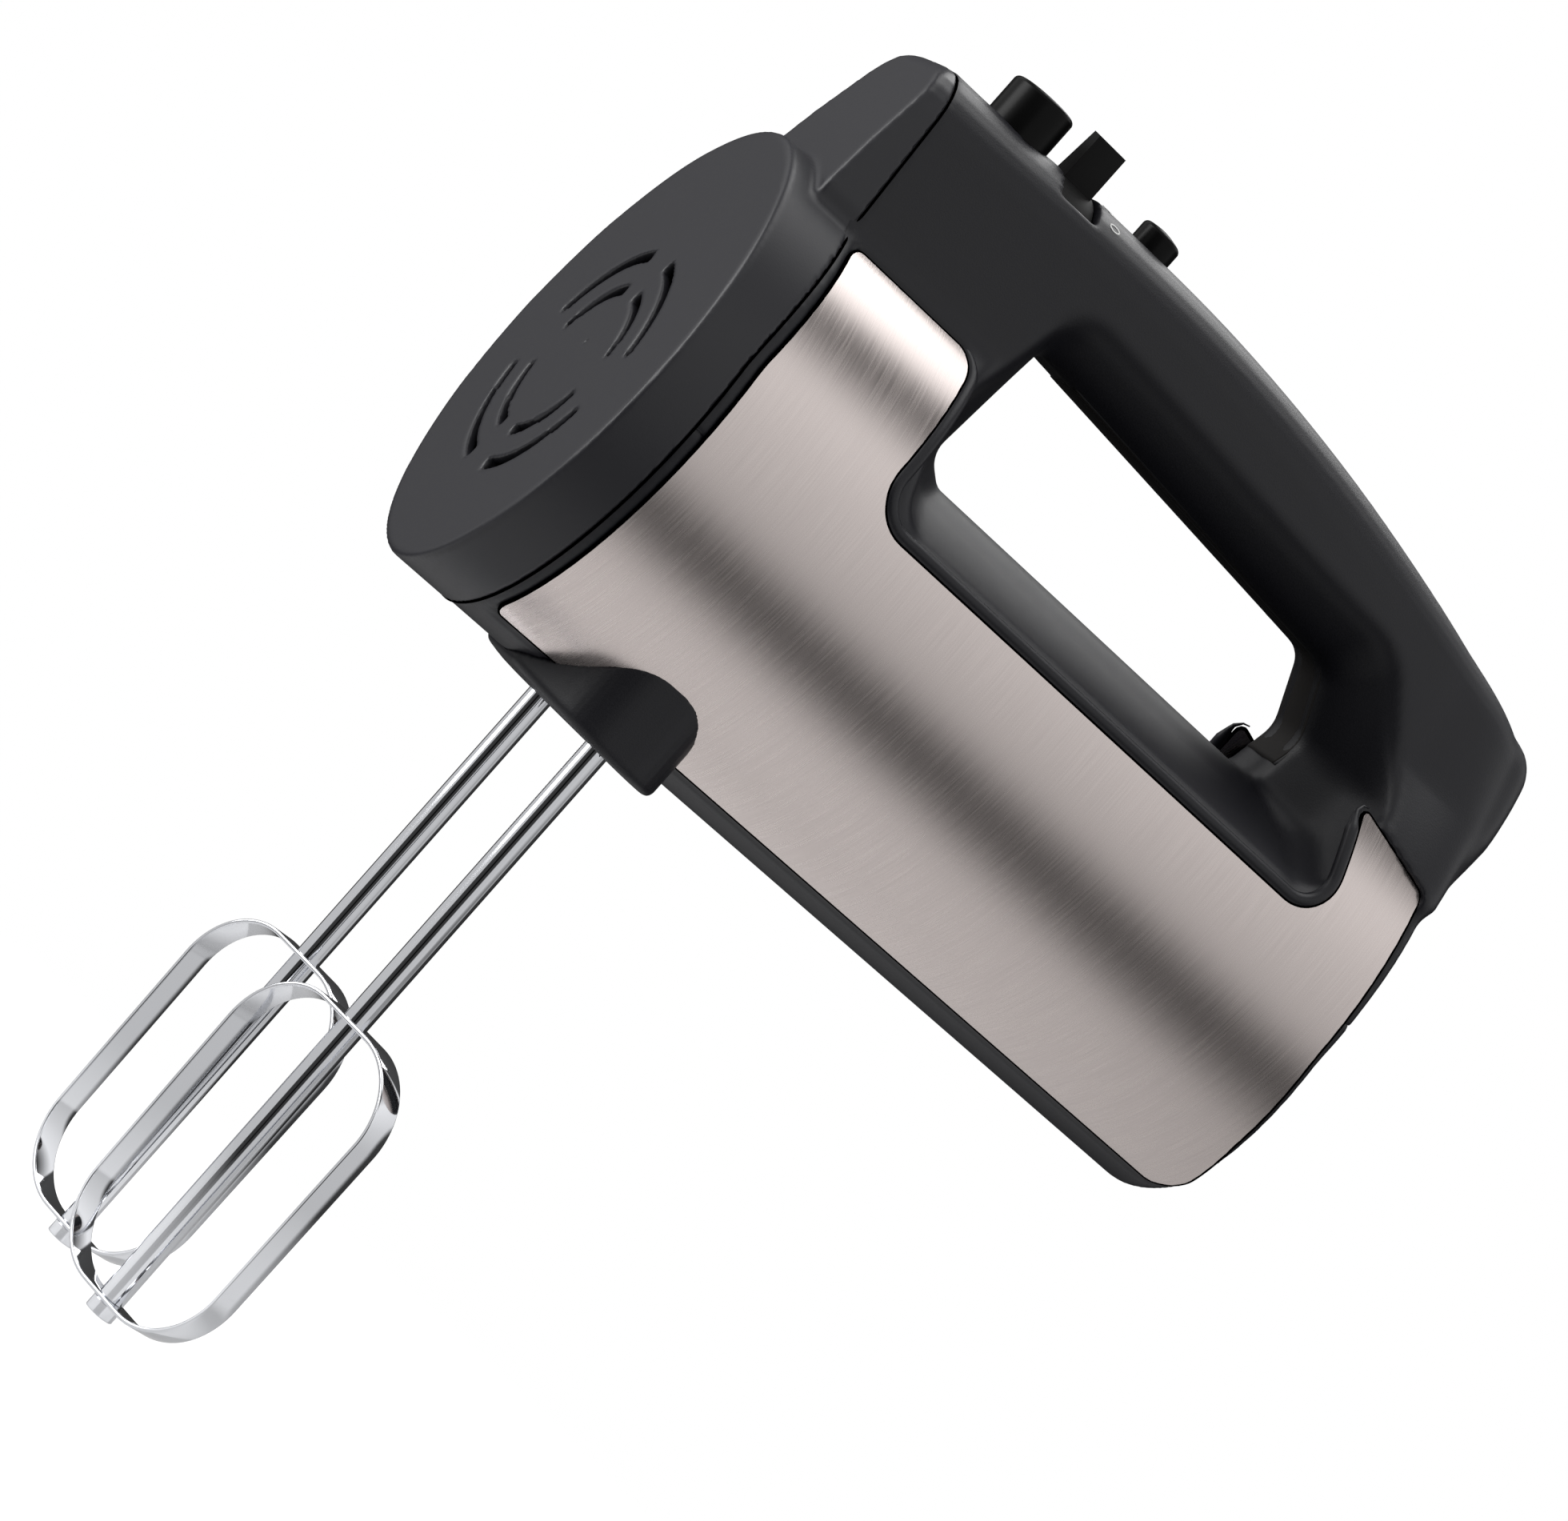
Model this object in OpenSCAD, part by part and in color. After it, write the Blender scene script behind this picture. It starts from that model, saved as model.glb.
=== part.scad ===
// Electric hand mixer with two strap beaters, a closed handle and steel side panels.
// +Z is up and the beaters hang down.  -X is the vented front, +X is the tail.
// The origin lies midway between the two beater axes, on the flat bottom of the socket collar.

/* [Body] */
// Width of the oval body
body_w = 88.6; // [84:0.2:110]
// Height of the oval body
body_h = 117; // [112:0.5:136]
// Height of the oval body's centre above the collar's bottom
body_z = 62; // [60:0.5:70]
// Wall of the plastic shells
wall = 2.5; // [1.8:0.1:3]
// Distance from the beater axes forward to the seam of the front cap
cap_seam = 39; // [36:0.5:46]
// Depth of the front cap ahead of its seam
cap_depth = 14; // [10:0.5:20]
// Distance from the beater axes back to the rear end of the body
body_rear = 165; // [160:1:200]
// How far the lower rear corner reaches beyond the rear end
heel = 7; // [2:0.5:9]

/* [Handle] */
// Height of the handle's highest point
grip_top = 155.6; // [150:0.5:175]
// Width of the handle where it meets the body
grip_w = 41.4; // [38:0.2:46]
// Height of the saddle under the finger opening
saddle_z = 88.5; // [86:0.5:94]
// Height of the handle's underside above the saddle
finger_h = 36; // [30:0.5:44]
// Length of the finger opening along its saddle
finger_l = 102; // [90:1:112]
// Width of the cover strip inside the handle
strip_w = 15.4; // [12:0.2:16]
// How far the tail reaches beyond the rear end of the body
tail_reach = 13; // [8:0.5:16]

/* [Steel panels] */
// Thickness of each steel panel
panel_t = 0.8; // [0.5:0.1:1.2]
// Height of the panels' lower edge
panel_low = 8.8; // [7:0.2:14]

/* [Beaters] */
// Distance between the two beater axes
beater_gap = 43.5; // [42:0.1:46]
// Diameter of a beater's shaft
shaft_d = 6; // [5:0.1:7]
// Length of shaft inside the mixer
shaft_in = 38; // [34:0.5:42]
// Depth of the beaters' lowest point below the collar
beater_drop = 153; // [120:1:180]
// Height of the strap loop
loop_h = 76.5; // [60:0.5:84]
// Width of the strap loop
loop_w = 50; // [44:0.5:51]
// Width of the strap
strap_w = 7; // [5:0.2:8]
// Thickness of the strap
strap_t = 1; // [0.8:0.1:1.4]

/* [Controls] */
// Diameter of the eject button
eject_d = 15.8; // [12:0.2:17]
// Travel of the eject button
eject_travel = 5.5; // [3:0.5:6]
// Diameter of the turbo button
turbo_d = 10.2; // [8:0.2:12]
// Travel of the turbo button
turbo_travel = 2.5; // [1.5:0.5:3]
// Length of the speed lever's tab along the handle
lever_l = 8; // [6:0.2:10]
// Angle that the speed lever swings through
lever_swing = 40; // [20:5:45]

/* [Motor] */
// Height of the motor's axis
motor_z = 52; // [51:0.5:56]
// Width of the stator
stator_w = 54; // [46:1:56]
// Height of the stator
stator_h = 48; // [42:1:48]
// Length of the stator
stator_l = 36; // [28:1:40]
// Diameter of the armature
armature_d = 37; // [30:0.5:37]
// Diameter of the armature's shaft
motor_shaft_d = 6.4; // [5:0.2:7]
// Number of teeth on each drive gear
gear_teeth = 30; // [24:2:36]

/* [Fits] */
// Running clearance of a shaft in its bush, on the radius
run_gap = 0.05; // [0.02:0.01:0.1]
// Free clearance between pieces that move past each other
free_gap = 0.3; // [0.2:0.05:0.5]

/* [Hidden] */
$fn = 48;

half_w = body_w / 2;
half_h = body_h / 2;
body_top = body_z + half_h;
shell_in = wall + panel_t;              // from the outer skin to the body's cavity
cap_front = -cap_seam - cap_depth;      // middle of the front disc
grip_half = grip_w / 2;
nose_seam = -cap_seam + 6;              // seam between the cap's nose and the upper housing
finger_x = 24;                          // front end of the opening's saddle
finger_top = saddle_z + finger_h;
tail_x = body_rear + tail_reach;
crown_r = 15;                           // radius of the handle's rounded top at the controls
crown_z = grip_top - 1 - crown_r;       // the lever's axis
spindle_y = beater_gap / 2;
spindle_r = shaft_d / 2 + run_gap + 2.45;
spindle_low = 2;
collar_half = spindle_y + 9.85;         // half the collar's width
gear_r = spindle_y - 4.5 - free_gap - 0.05;
worm_r = spindle_y - gear_r - free_gap;
gear_h = 10;
bush_r = spindle_r + 2;
keel_in = body_z - (half_h - shell_in) * sqrt(1 - pow((spindle_y + bush_r) / (half_w - shell_in), 2));
base_z = keel_in + 0.7;                 // gearbox base plate, its bushes just above the keel's inner face
cover_z = motor_z + 10;                 // gearbox cover plate
plate_t = 4;
screw_head = 2;
eject_z = cover_z + plate_t + screw_head + eject_travel + 1.5;  // ejector plate
gear_plate = [48, 55];                  // gearbox plates along X and across Y
eject_x = -12.3;
turbo_x = 28;
lever_x = 4;
lever_rest = 8;                         // the lever's lean to its side at rest
shield_turn = 50;                       // the shield reaches this far each way round the crown
rod_r = 3;
pin_r = 2.6;                            // ejector pins inside the spindles
shelf_z = 118;                          // shelf that carries the ejector spring
stator_x = 74;                          // middle of the stator
stator_front = stator_x - stator_l / 2;
stator_rear = stator_x + stator_l / 2;
shaft_r = motor_shaft_d / 2;
bearing_r = shaft_r + 4.8;
bearing_w = 6;
front_bearing_x = -32;
middle_bearing_x = 22;
commutator_x = stator_rear + 9;
commutator_l = 13;
commutator_r = 10;
rear_bearing_x = commutator_x + commutator_l + 6;
screw_x = [-cap_seam + 7, body_rear - 15];
screw_y = 20;
screw_r = 1.5;
screw_seat = 20;                        // underside of the casing screws' heads, deep in the keel
cord_r = 3.5;
cord_z = 112;
clamp_z = cord_z - cord_r - 4;          // seat of the cord clamp
gland_r = 6;
loop_angle = -63;                       // plane of each loop, turned from X

// ---- outlines: a corner is [x, y, radius] and the corners run anticlockwise ----
function unit(v) = v / norm(v);
function flat(p) = [p.x, p.y];
function next_to(c, i) = c[(i + len(c)) % len(c)];
function edge_normal(p, q) = let (d = unit(q - p)) [d.y, -d.x];
// the same outline moved outwards by d
function grown(c, d) = [for (i = [0 : len(c) - 1])
    let (a = flat(next_to(c, i - 1)), b = flat(c[i]), e = flat(next_to(c, i + 1)),
        n = edge_normal(a, b), m = edge_normal(b, e), p = b + d * (n + m) / (1 + n * m),
        turn = cross(b - a, e - b) > 0 ? d : -d)
    [p.x, p.y, max(0.1, c[i].z + turn)]];
// the arc that rounds one corner, as n + 1 points
function corner_arc(a, b, e, r, n) =
    let (u = unit(a - b), v = unit(e - b), half = acos(u * v) / 2,
        centre = b + unit(u + v) * r / sin(half),
        p = b + u * r / tan(half) - centre, q = b + v * r / tan(half) - centre,
        start = atan2(p.y, p.x), raw = atan2(q.y, q.x) - start,
        sweep = raw > 180 ? raw - 360 : raw < -180 ? raw + 360 : raw)
    [for (k = [0 : n]) centre + r * [cos(start + sweep * k / n), sin(start + sweep * k / n)]];
function rounded(c, n = 5) = [for (i = [0 : len(c) - 1])
    each corner_arc(flat(next_to(c, i - 1)), flat(c[i]), flat(next_to(c, i + 1)), c[i].z, n)];
function ellipse(a, b, n = 72) = [for (k = [0 : n - 1]) [a * cos(360 * k / n), b * sin(360 * k / n)]];

// ---- solids from outlines ----
// an outline in (y, z) carried along X
module along_x(x0, x1) translate([x0, 0, 0]) rotate([90, 0, 90]) linear_extrude(x1 - x0) children();
// an outline in (x, z) carried across Y
module across_y(y0, y1) translate([0, y1, 0]) rotate([90, 0, 0]) linear_extrude(y1 - y0) children();
// a skin over rings of points, each ring anticlockwise as seen from the last one
module loft(rings) {
    n = len(rings[0]);
    m = len(rings);
    sides = [for (k = [0 : m - 2], i = [0 : n - 1])
        let (a = k * n + i, b = k * n + (i + 1) % n) each [[a, b + n, b], [a, a + n, b + n]]];
    ends = [[for (i = [0 : n - 1]) i], [for (i = [n - 1 : -1 : 0]) (m - 1) * n + i]];
    polyhedron([for (r = rings) each r], concat(sides, ends));
}
module ring(r_out, r_in, h) difference() {
    cylinder(h = h, r = r_out);
    translate([0, 0, -1]) cylinder(h = h + 2, r = r_in);
}
// a row of closed rings that stands for a coil spring
module spring_rings(r, wire, length, turns) for (k = [0 : turns - 1])
    translate([0, 0, wire / 2 + k * (length - wire) / (turns - 1)])
        rotate_extrude() translate([r, 0]) circle(d = wire, $fn = 16);
module both_sides() for (s = [-1, 1]) translate([0, s * spindle_y, 0]) children();
module lower_half() translate([-100, -100, body_z - 200]) cube([400, 200, 200]);
module upper_half() translate([-100, -100, body_z]) cube([400, 200, 200]);
module on_motor_axis(x) translate([x, 0, motor_z]) rotate([0, 90, 0]) children();

// ---- shared forms of the casing ----
// side view of the body, from the cap's seam to the rear end
body_outline = [[-cap_seam, -5, 0.1], [body_rear + heel - 2, -5, 0.1], [body_rear + heel, panel_low + 3, 9],
    [body_rear + 0.6 * heel, 0.44 * body_z, 25], [body_rear, 0.84 * body_z, 60],
    [body_rear - 3, body_top + 5, 0.1], [-cap_seam, body_top + 5, 0.1]];
module oval(inset) translate([0, body_z]) polygon(ellipse(half_w - inset, half_h - inset));
module body_form(inset) intersection() {
    along_x(-cap_seam - 1, body_rear + heel + 1) oval(inset);
    across_y(-half_w - 1, half_w + 1)
        polygon(rounded(inset == 0 ? body_outline : grown(body_outline, -inset)));
}
// section of the nose, handle and tail: the foot, the shoulder and the crown
function grip_section(top, foot_w, foot_z, side_w, side_z, top_w, top_r) =
    [[-foot_w, foot_z, 0.5], [foot_w, foot_z, 0.5], [side_w, side_z, 8], [top_w, top, top_r],
    [-top_w, top, top_r], [-side_w, side_z, 8]];
function nose_section(top) = grip_section(top, grip_half, saddle_z - 18.5, grip_half, body_top - 2.5, 15, 13);
// the sections from the nose to the tail, each with its place along X
stations = [
    [nose_seam, nose_section(grip_top - 1.8)],
    [14, nose_section(grip_top - 0.2)],
    [finger_x + 31, nose_section(grip_top - 0.5)],
    [finger_x + 64, nose_section(grip_top - 3.4)],
    [finger_x + finger_l - 4, grip_section(grip_top - 9, 30, saddle_z - 6, grip_half + 2, body_top - 4, 15, 13)],
    [body_rear - 23, grip_section(grip_top - 13.5, 37, saddle_z + 3, 26, body_top - 8, 15, 13)],
    [body_rear, grip_section(grip_top - 20, 36.5, saddle_z + 4, 27, body_top - 8.5, 14, 12)],
    [tail_x - 4, grip_section(grip_top - 24.6, 27, saddle_z + 6.5, 22, body_top - 8.5, 12, 9)],
    [tail_x, grip_section(grip_top - 31.6, 16, saddle_z + 11.5, 14, body_top - 8.5, 8, 5)]];
module grip_form(inset) loft([for (i = [0 : len(stations) - 1])
    let (s = stations[i], x = s[0] - (i == 0 || i == len(stations) - 1 ? inset : 0))
    [for (p = rounded(grown(s[1], -inset))) [x, p.x, p.y]]]);
// the finger opening at its middle, at the handle's flanks and at the body's sides
opening_mid = [[finger_x, saddle_z, 4], [finger_x + finger_l, saddle_z, 3],
    [finger_x + finger_l + 2.8, saddle_z + 13.4, 8], [finger_x + finger_l - 5, finger_top - 6.8, 7],
    [finger_x - 3.5, finger_top, 4], [finger_x - 6, saddle_z + 4.5, 5]];
opening_flank = [[finger_x - 8, saddle_z - 4.7, 8], [finger_x + finger_l + 10, saddle_z - 4.7, 8],
    [finger_x + finger_l + 13, saddle_z + 12.5, 10], [finger_x + finger_l, finger_top + 5.5, 12],
    [finger_x - 7, finger_top + 13.5, 10], [finger_x - 14.5, saddle_z + 6.5, 20]];
opening_side = [[finger_x - 16, saddle_z - 13.7, 8], [finger_x + finger_l + 12, saddle_z - 13.7, 8],
    [finger_x + finger_l + 15, saddle_z + 11.5, 4], [finger_x + finger_l + 26, finger_top + 33.5, 10],
    [finger_x - 28, finger_top + 43.5, 10], [finger_x - 20.2, saddle_z + 1.5, 20]];
opening_rings = [[half_w + 2, opening_side], [grip_half - 0.7, opening_flank], [8, opening_mid],
    [-8, opening_mid], [0.7 - grip_half, opening_flank], [-half_w - 2, opening_side]];
module opening_form(more) loft([for (r = opening_rings)
    [for (p = rounded(more == 0 ? r[1] : grown(r[1], more))) [p.x, r[0], p.y]]]);
// the strip of wall that the handle's inner cover takes up
module cover_zone() intersection() {
    across_y(-strip_w / 2, strip_w / 2) difference() {
        polygon(rounded(grown(opening_mid, wall)));
        polygon(rounded(opening_mid));
    }
    across_y(-strip_w, strip_w) polygon([[finger_x + 6, finger_top - 14], [finger_x + finger_l - 12, finger_top - 14],
        [finger_x + finger_l - 12, saddle_z + 3.5], [finger_x + finger_l + 12, saddle_z + 3.5],
        [finger_x + finger_l + 12, finger_top + 12], [finger_x + 6, finger_top + 12]]);
}
// plan of the collar round the beater sockets
collar_outline = [[16, -collar_half, 13], [16, collar_half, 13], [-9, collar_half, 14], [-23, 11, 9],
    [-23, -11, 9], [-9, -collar_half, 14]];
module collar_form() linear_extrude(24) polygon(rounded(collar_outline));
// side view of a steel panel, wrapped round the oval
panel_outline = [[3.3 - cap_seam, panel_low, 2], [body_rear + heel - 1, panel_low, 5],
    [body_rear + 0.6 * heel - 3, 0.44 * body_z, 25], [body_rear - 3, 0.84 * body_z, 60],
    [body_rear - 6.1, saddle_z + 5.1, 2.5], [finger_x + finger_l + 10.4, saddle_z + 10.6, 1],
    [finger_x + finger_l + 16.9, saddle_z - 15.9, 9.4], [finger_x - 24.3, saddle_z - 15.9, 10],
    [finger_x - 19.3, body_top - 8.5, 4], [8 - cap_seam, body_top - 8.5, 3], [3.3 - cap_seam, body_top - 40, 30]];
module panel(side) color([0.78, 0.78, 0.77]) difference() {
    intersection() {
        along_x(-cap_seam, body_rear + heel) difference() { oval(0); oval(panel_t); }
        across_y(side < 0 ? -half_w - 1 : 0, side < 0 ? 0 : half_w + 1) polygon(rounded(panel_outline));
    }
    collar_form();
}
module panels() { panel(-1); panel(1); }
// a column round a casing screw
module screw_columns(z0, z1, r) for (x = screw_x, s = [-1, 1])
    translate([x, s * screw_y, z0]) cylinder(h = z1 - z0, r = r);

// ---- casing ----
// one of the front's eight slots: an arc of an ellipse, widest at its upright end
function vent_slot(a, b, w0, w1, n = 8) =
    let (path = [for (k = [0 : n]) let (t = 15 + 62 * k / n) [a * cos(t), b * sin(t), w0 + (w1 - w0) * k / n]])
    concat([for (p = path) flat(p) * (1 + p.z / 2 / norm(flat(p)))],
        [for (k = [n : -1 : 0]) let (p = path[k]) flat(p) * (1 - p.z / 2 / norm(flat(p)))]);
module vents() translate([0, 0, 57]) for (sy = [0, 1], sz = [0, 1])
    mirror([0, sy, 0]) mirror([0, 0, sz]) along_x(cap_front - 4, cap_front + 6) {
        polygon(vent_slot(24.5, 28, 1.4, 2.6));
        polygon(vent_slot(16, 19, 1.2, 2.3));
    }
disc_outline = [[cap_front - 1.6, -5, 0.1], [-cap_seam, -5, 0.1], [-cap_seam, body_top + 5, 0.1],
    [cap_front + 2, body_top + 5, 0.1]];
nose_outline = [[-cap_seam - 5, body_top - 20, 0.1], [nose_seam, body_top - 20, 0.1],
    [nose_seam, grip_top - 1.8, 0.1], [1 - cap_seam, grip_top - 2.4, 5], [-cap_seam - 3.2, grip_top - 25, 40],
    [-cap_seam - 5, body_top - 2.5, 0.1]];
module disc_form(inset) intersection() {
    along_x(cap_front - 5, -cap_seam) oval(inset);
    across_y(-half_w - 1, half_w + 1) translate([inset, 0]) polygon(rounded(disc_outline));
}
module nose_form(inset) intersection() {
    along_x(-cap_seam - 10, nose_seam) polygon(rounded(grown(nose_section(grip_top - 1.8), -inset)));
    across_y(-half_w, half_w) translate([inset, 0]) polygon(rounded(nose_outline));
}
module front_cap() color([0.17, 0.17, 0.18]) difference() {
    union() {
        disc_form(0);
        nose_form(0);
    }
    disc_form(wall);
    difference() {
        nose_form(wall);
        along_x(cap_front - 5, nose_seam + 1) oval(-wall);
    }
    along_x(-cap_seam, nose_seam + 1) oval(0);
    vents();
}
module upper_housing() color([0.15, 0.15, 0.16]) difference() {
    union() {
        difference() {
            union() {
                intersection() { body_form(0); upper_half(); }
                grip_form(0);
            }
            opening_form(0);
            difference() {
                union() { body_form(shell_in); grip_form(wall); }
                opening_form(wall);
            }
            along_x(-cap_seam - 1, -cap_seam + 5) oval(shell_in);
            lower_half();
        }
        // columns for the casing screws and a rib for the cord clamp
        intersection() { screw_columns(body_z, body_z + 70, 4); body_form(panel_t + 0.2); }
        intersection() {
            translate([body_rear - 12, -half_w, clamp_z - 7]) cube([6, body_w, 7]);
            union() { body_form(panel_t + 0.2); grip_form(0.6); }
        }
        // shelves for the ejector spring and the speed switch, and a seat for the turbo switch
        translate([nose_seam + 1, -grip_half + 1.5, shelf_z]) cube([eject_x - nose_seam + 6, grip_w - 3, 2.5]);
        translate([lever_x - 9, -grip_half + 1.5, crown_z - 24.5]) cube([17, grip_w - 3, 2.5]);
        translate([turbo_x - 6, -5, finger_top + 1]) cube([7.5, 10, wall - 1]);
    }
    panels();
    cover_zone();
    screw_columns(body_z - 1, body_z + 16, screw_r);
    translate([eject_x, 0, shelf_z - 1]) cylinder(h = 5, r = rod_r + free_gap);
    translate([eject_x, 0, grip_top - 20]) cylinder(h = 30, r = eject_d / 2 + free_gap);
    translate([turbo_x, 0, grip_top - 12]) cylinder(h = 20, r = turbo_d / 2 + free_gap);
    lever_slot();
    clamp_holes(clamp_z - 5);
    translate([tail_x - 16, 0, cord_z]) rotate([0, 90, 0]) cylinder(h = 20, r = gland_r);
}
// the slot across the crown that the lever's shield slides in
module lever_slot() translate([lever_x - lever_l / 2 - 1 - free_gap, 0, crown_z]) rotate([90, 0, 90])
    linear_extrude(lever_l + 2 + 2 * free_gap) difference() {
        pie(40, -shield_turn - 2, shield_turn + lever_swing + 2);
        circle(r = crown_r - 3);
    }
module motor_housing() color([0.14, 0.14, 0.15]) difference() {
    union() {
        difference() {
            intersection() { body_form(0); lower_half(); }
            body_form(shell_in);
            along_x(-cap_seam - 1, -cap_seam + 5) oval(shell_in);
        }
        intersection() { screw_columns(0, body_z, 4); body_form(panel_t + 0.2); }
        // two saddles carry the motor
        for (x = [stator_x - 12, stator_x + 12]) intersection() {
            translate([x - 1.25, -stator_w / 2, 0]) cube([2.5, stator_w, motor_z - stator_h / 2]);
            body_form(wall);
        }
    }
    panels();
    screw_columns(-1, screw_seat + screw_head, 2 * screw_r + free_gap);
    screw_columns(-1, body_z + 1, screw_r + 0.2);
    both_sides() translate([0, 0, -1]) cylinder(h = 24, r = spindle_r + 2 * free_gap);
}
module handle_cover() color([0.25, 0.24, 0.23]) cover_zone();
module steel_panel_left() panel(-1);
module steel_panel_right() panel(1);
module socket_collar() color([0.13, 0.13, 0.14]) difference() {
    collar_form();
    // the flat bottom rises a little towards the front
    across_y(-half_w, half_w) polygon([[-6, -0.01], [-30, 4], [-30, -1], [-6, -1]]);
    along_x(-60, 60) oval(0);
    both_sides() translate([0, 0, -1]) cylinder(h = 24, r = spindle_r + 2 * free_gap);
}

// ---- controls ----
button_low = grip_top - 6;
module eject_button() color([0.08, 0.08, 0.08]) translate([eject_x, 0, button_low])
    rotate_extrude() polygon([[0, 0], [eject_d / 2, 0], [eject_d / 2, 13.6], [eject_d / 2 - 0.8, 14.4], [0, 14.4]]);
module eject_rod() color([0.6, 0.6, 0.6]) translate([eject_x, 0, 0]) {
    translate([0, 0, eject_z + 3]) cylinder(h = button_low - eject_z - 3, r = rod_r);
    translate([0, 0, button_low - 4]) cylinder(h = 2, r = rod_r + 2.5);
}
module ejector_plate() color([0.85, 0.85, 0.82]) {
    difference() {
        translate([eject_x - 5, -spindle_y - 5, eject_z]) cube([10 - eject_x, beater_gap + 10, 3]);
        translate([eject_x + 6, -spindle_y + 6, eject_z - 1]) cube([20, beater_gap - 12, 5]);
    }
    both_sides() translate([0, 0, shaft_in + 0.6]) cylinder(h = eject_z - shaft_in - 0.6, r = pin_r);
}
spring_len = button_low - 4 - shelf_z - 2.5;
module ejector_spring() color([0.75, 0.75, 0.75]) translate([eject_x, 0, shelf_z + 2.5])
    spring_rings(rod_r + 1.4, 1, spring_len, 9);
module pie(r, a0, a1) polygon(concat([[0, 0]], [for (k = [0 : 6]) let (a = a0 + (a1 - a0) * k / 6)
    r * [sin(a), cos(a)]]));
module speed_lever() color([0.07, 0.07, 0.07]) translate([lever_x, 0, crown_z]) {
    // shield that closes the slot
    along_x(-lever_l / 2 - 1, lever_l / 2 + 1) intersection() {
        difference() { circle(r = crown_r + 0.4); circle(r = crown_r - 1.4); }
        pie(30, -shield_turn, shield_turn);
    }
    // tab, arm and hub
    along_x(-lever_l / 2, lever_l / 2) rotate(lever_rest)
        polygon([[-3.5, crown_r - 0.5], [3.5, crown_r - 0.5], [2.1, 26.2], [-1.9, 26.2]]);
    difference() {
        union() {
            along_x(-2.5, 2.5) rotate(lever_rest) translate([-2, 1]) square([4, crown_r - 1.5]);
            along_x(-4, 4) circle(r = 4.2);
        }
        along_x(-6, 6) circle(r = 2 + run_gap);
    }
}
module lever_pivot() color([0.7, 0.7, 0.7]) translate([lever_x - 8, 0, crown_z]) rotate([0, 90, 0])
    cylinder(h = 16, r = 2);
module speed_switch() color([0.9, 0.88, 0.8]) difference() {
    union() {
        translate([lever_x - 8, -9, crown_z - 22]) cube([16, 18, 16]);
        for (x = [-8, 5.5]) translate([lever_x + x, -4, crown_z - 7]) cube([2.5, 8, 10.5]);
    }
    translate([lever_x - 9, 0, crown_z]) rotate([0, 90, 0]) cylinder(h = 18, r = 2);
}
module control_board() {
    color([0.1, 0.4, 0.2]) translate([-22, 13, 80]) cube([30, 1.6, 30]);
    color([0.7, 0.7, 0.7]) translate([-1, 4, 84]) cube([9, 9, 16]);
    color([0.2, 0.2, 0.5]) translate([-15, 13, 90]) rotate([90, 0, 0]) cylinder(h = 8, r = 4.5);
    color([0.8, 0.6, 0.2]) translate([-7, 5, 82]) cube([5, 8, 10]);
}
turbo_low = grip_top - 5.6;
turbo_seat = turbo_low - turbo_travel - 3.5;
module turbo_button() color([0.07, 0.07, 0.07]) translate([turbo_x, 0, turbo_low]) {
    difference() {
        cylinder(h = 11, r = turbo_d / 2);
        translate([-10, -10, 11]) rotate([0, 5, 0]) cube([20, 20, 4]);
    }
    translate([0, 0, -3]) cylinder(h = 3.5, r = 1.8);
}
module turbo_spring() color([0.75, 0.75, 0.75]) translate([turbo_x, 0, turbo_seat])
    spring_rings(3, 0.7, turbo_low - turbo_seat, 4);
module turbo_switch() color([0.2, 0.2, 0.22]) translate([turbo_x - 6, -5, finger_top + wall])
    difference() {
        cube([12, 10, turbo_seat - finger_top - wall]);
        translate([6, 5, turbo_seat - finger_top - wall - 5]) cylinder(h = 6, r = 1.8 + free_gap);
    }

// ---- gearbox ----
module gear_posts(z0, z1, r) for (sx = [-1, 1], sy = [-1, 1])
    translate([sx * 20.5, sy * 12, z0]) cylinder(h = z1 - z0, r = r);
module bearing_wall(x, t) difference() {
    translate([x, -12, base_z + 1]) cube([t, 24, cover_z - base_z - 1]);
    on_motor_axis(x - 1) cylinder(h = t + 2, r = bearing_r);
}
module gearbox_base() color([0.7, 0.7, 0.72]) difference() {
    union() {
        translate([-gear_plate.x / 2, -gear_plate.y / 2, base_z]) cube([gear_plate.x, gear_plate.y, plate_t]);
        both_sides() translate([0, 0, base_z + 3]) cylinder(h = 6, r = bush_r + 1.5);
        gear_posts(base_z + plate_t - 1, cover_z, 3);
        bearing_wall(front_bearing_x, bearing_w);
        translate([front_bearing_x, -12, base_z]) cube([-front_bearing_x - gear_plate.x / 2 + 1, 24, plate_t]);
        bearing_wall(middle_bearing_x, bearing_w);
        translate([gear_plate.x / 2 - 1, -12, base_z]) cube([middle_bearing_x + bearing_w + 1 - gear_plate.x / 2,
            24, plate_t]);
    }
    both_sides() translate([0, 0, base_z - 1]) cylinder(h = 12, r = bush_r);
    gear_posts(cover_z - 8, cover_z + 1, 1.2);
}
module gearbox_cover() color([0.68, 0.68, 0.7]) difference() {
    union() {
        translate([-gear_plate.x / 2, -gear_plate.y / 2, cover_z]) cube([gear_plate.x, gear_plate.y, plate_t]);
        both_sides() translate([0, 0, cover_z - 2]) cylinder(h = 2 + plate_t, r = bush_r + 1.5);
    }
    both_sides() translate([0, 0, cover_z - 3]) cylinder(h = 12, r = bush_r);
    gear_posts(cover_z - 1, cover_z + plate_t + 1, 1.2);
}
module gearbox_screws() color([0.75, 0.75, 0.75]) {
    gear_posts(cover_z - 8, cover_z + plate_t, 1.2);
    gear_posts(cover_z + plate_t, cover_z + plate_t + screw_head, 2.4);
}
module spindle_bushes() color([0.72, 0.5, 0.25]) both_sides() {
    translate([0, 0, base_z]) ring(bush_r, spindle_r + run_gap, 9);
    translate([0, 0, cover_z - 2]) ring(bush_r, spindle_r + run_gap, 2 + plate_t);
}
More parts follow.
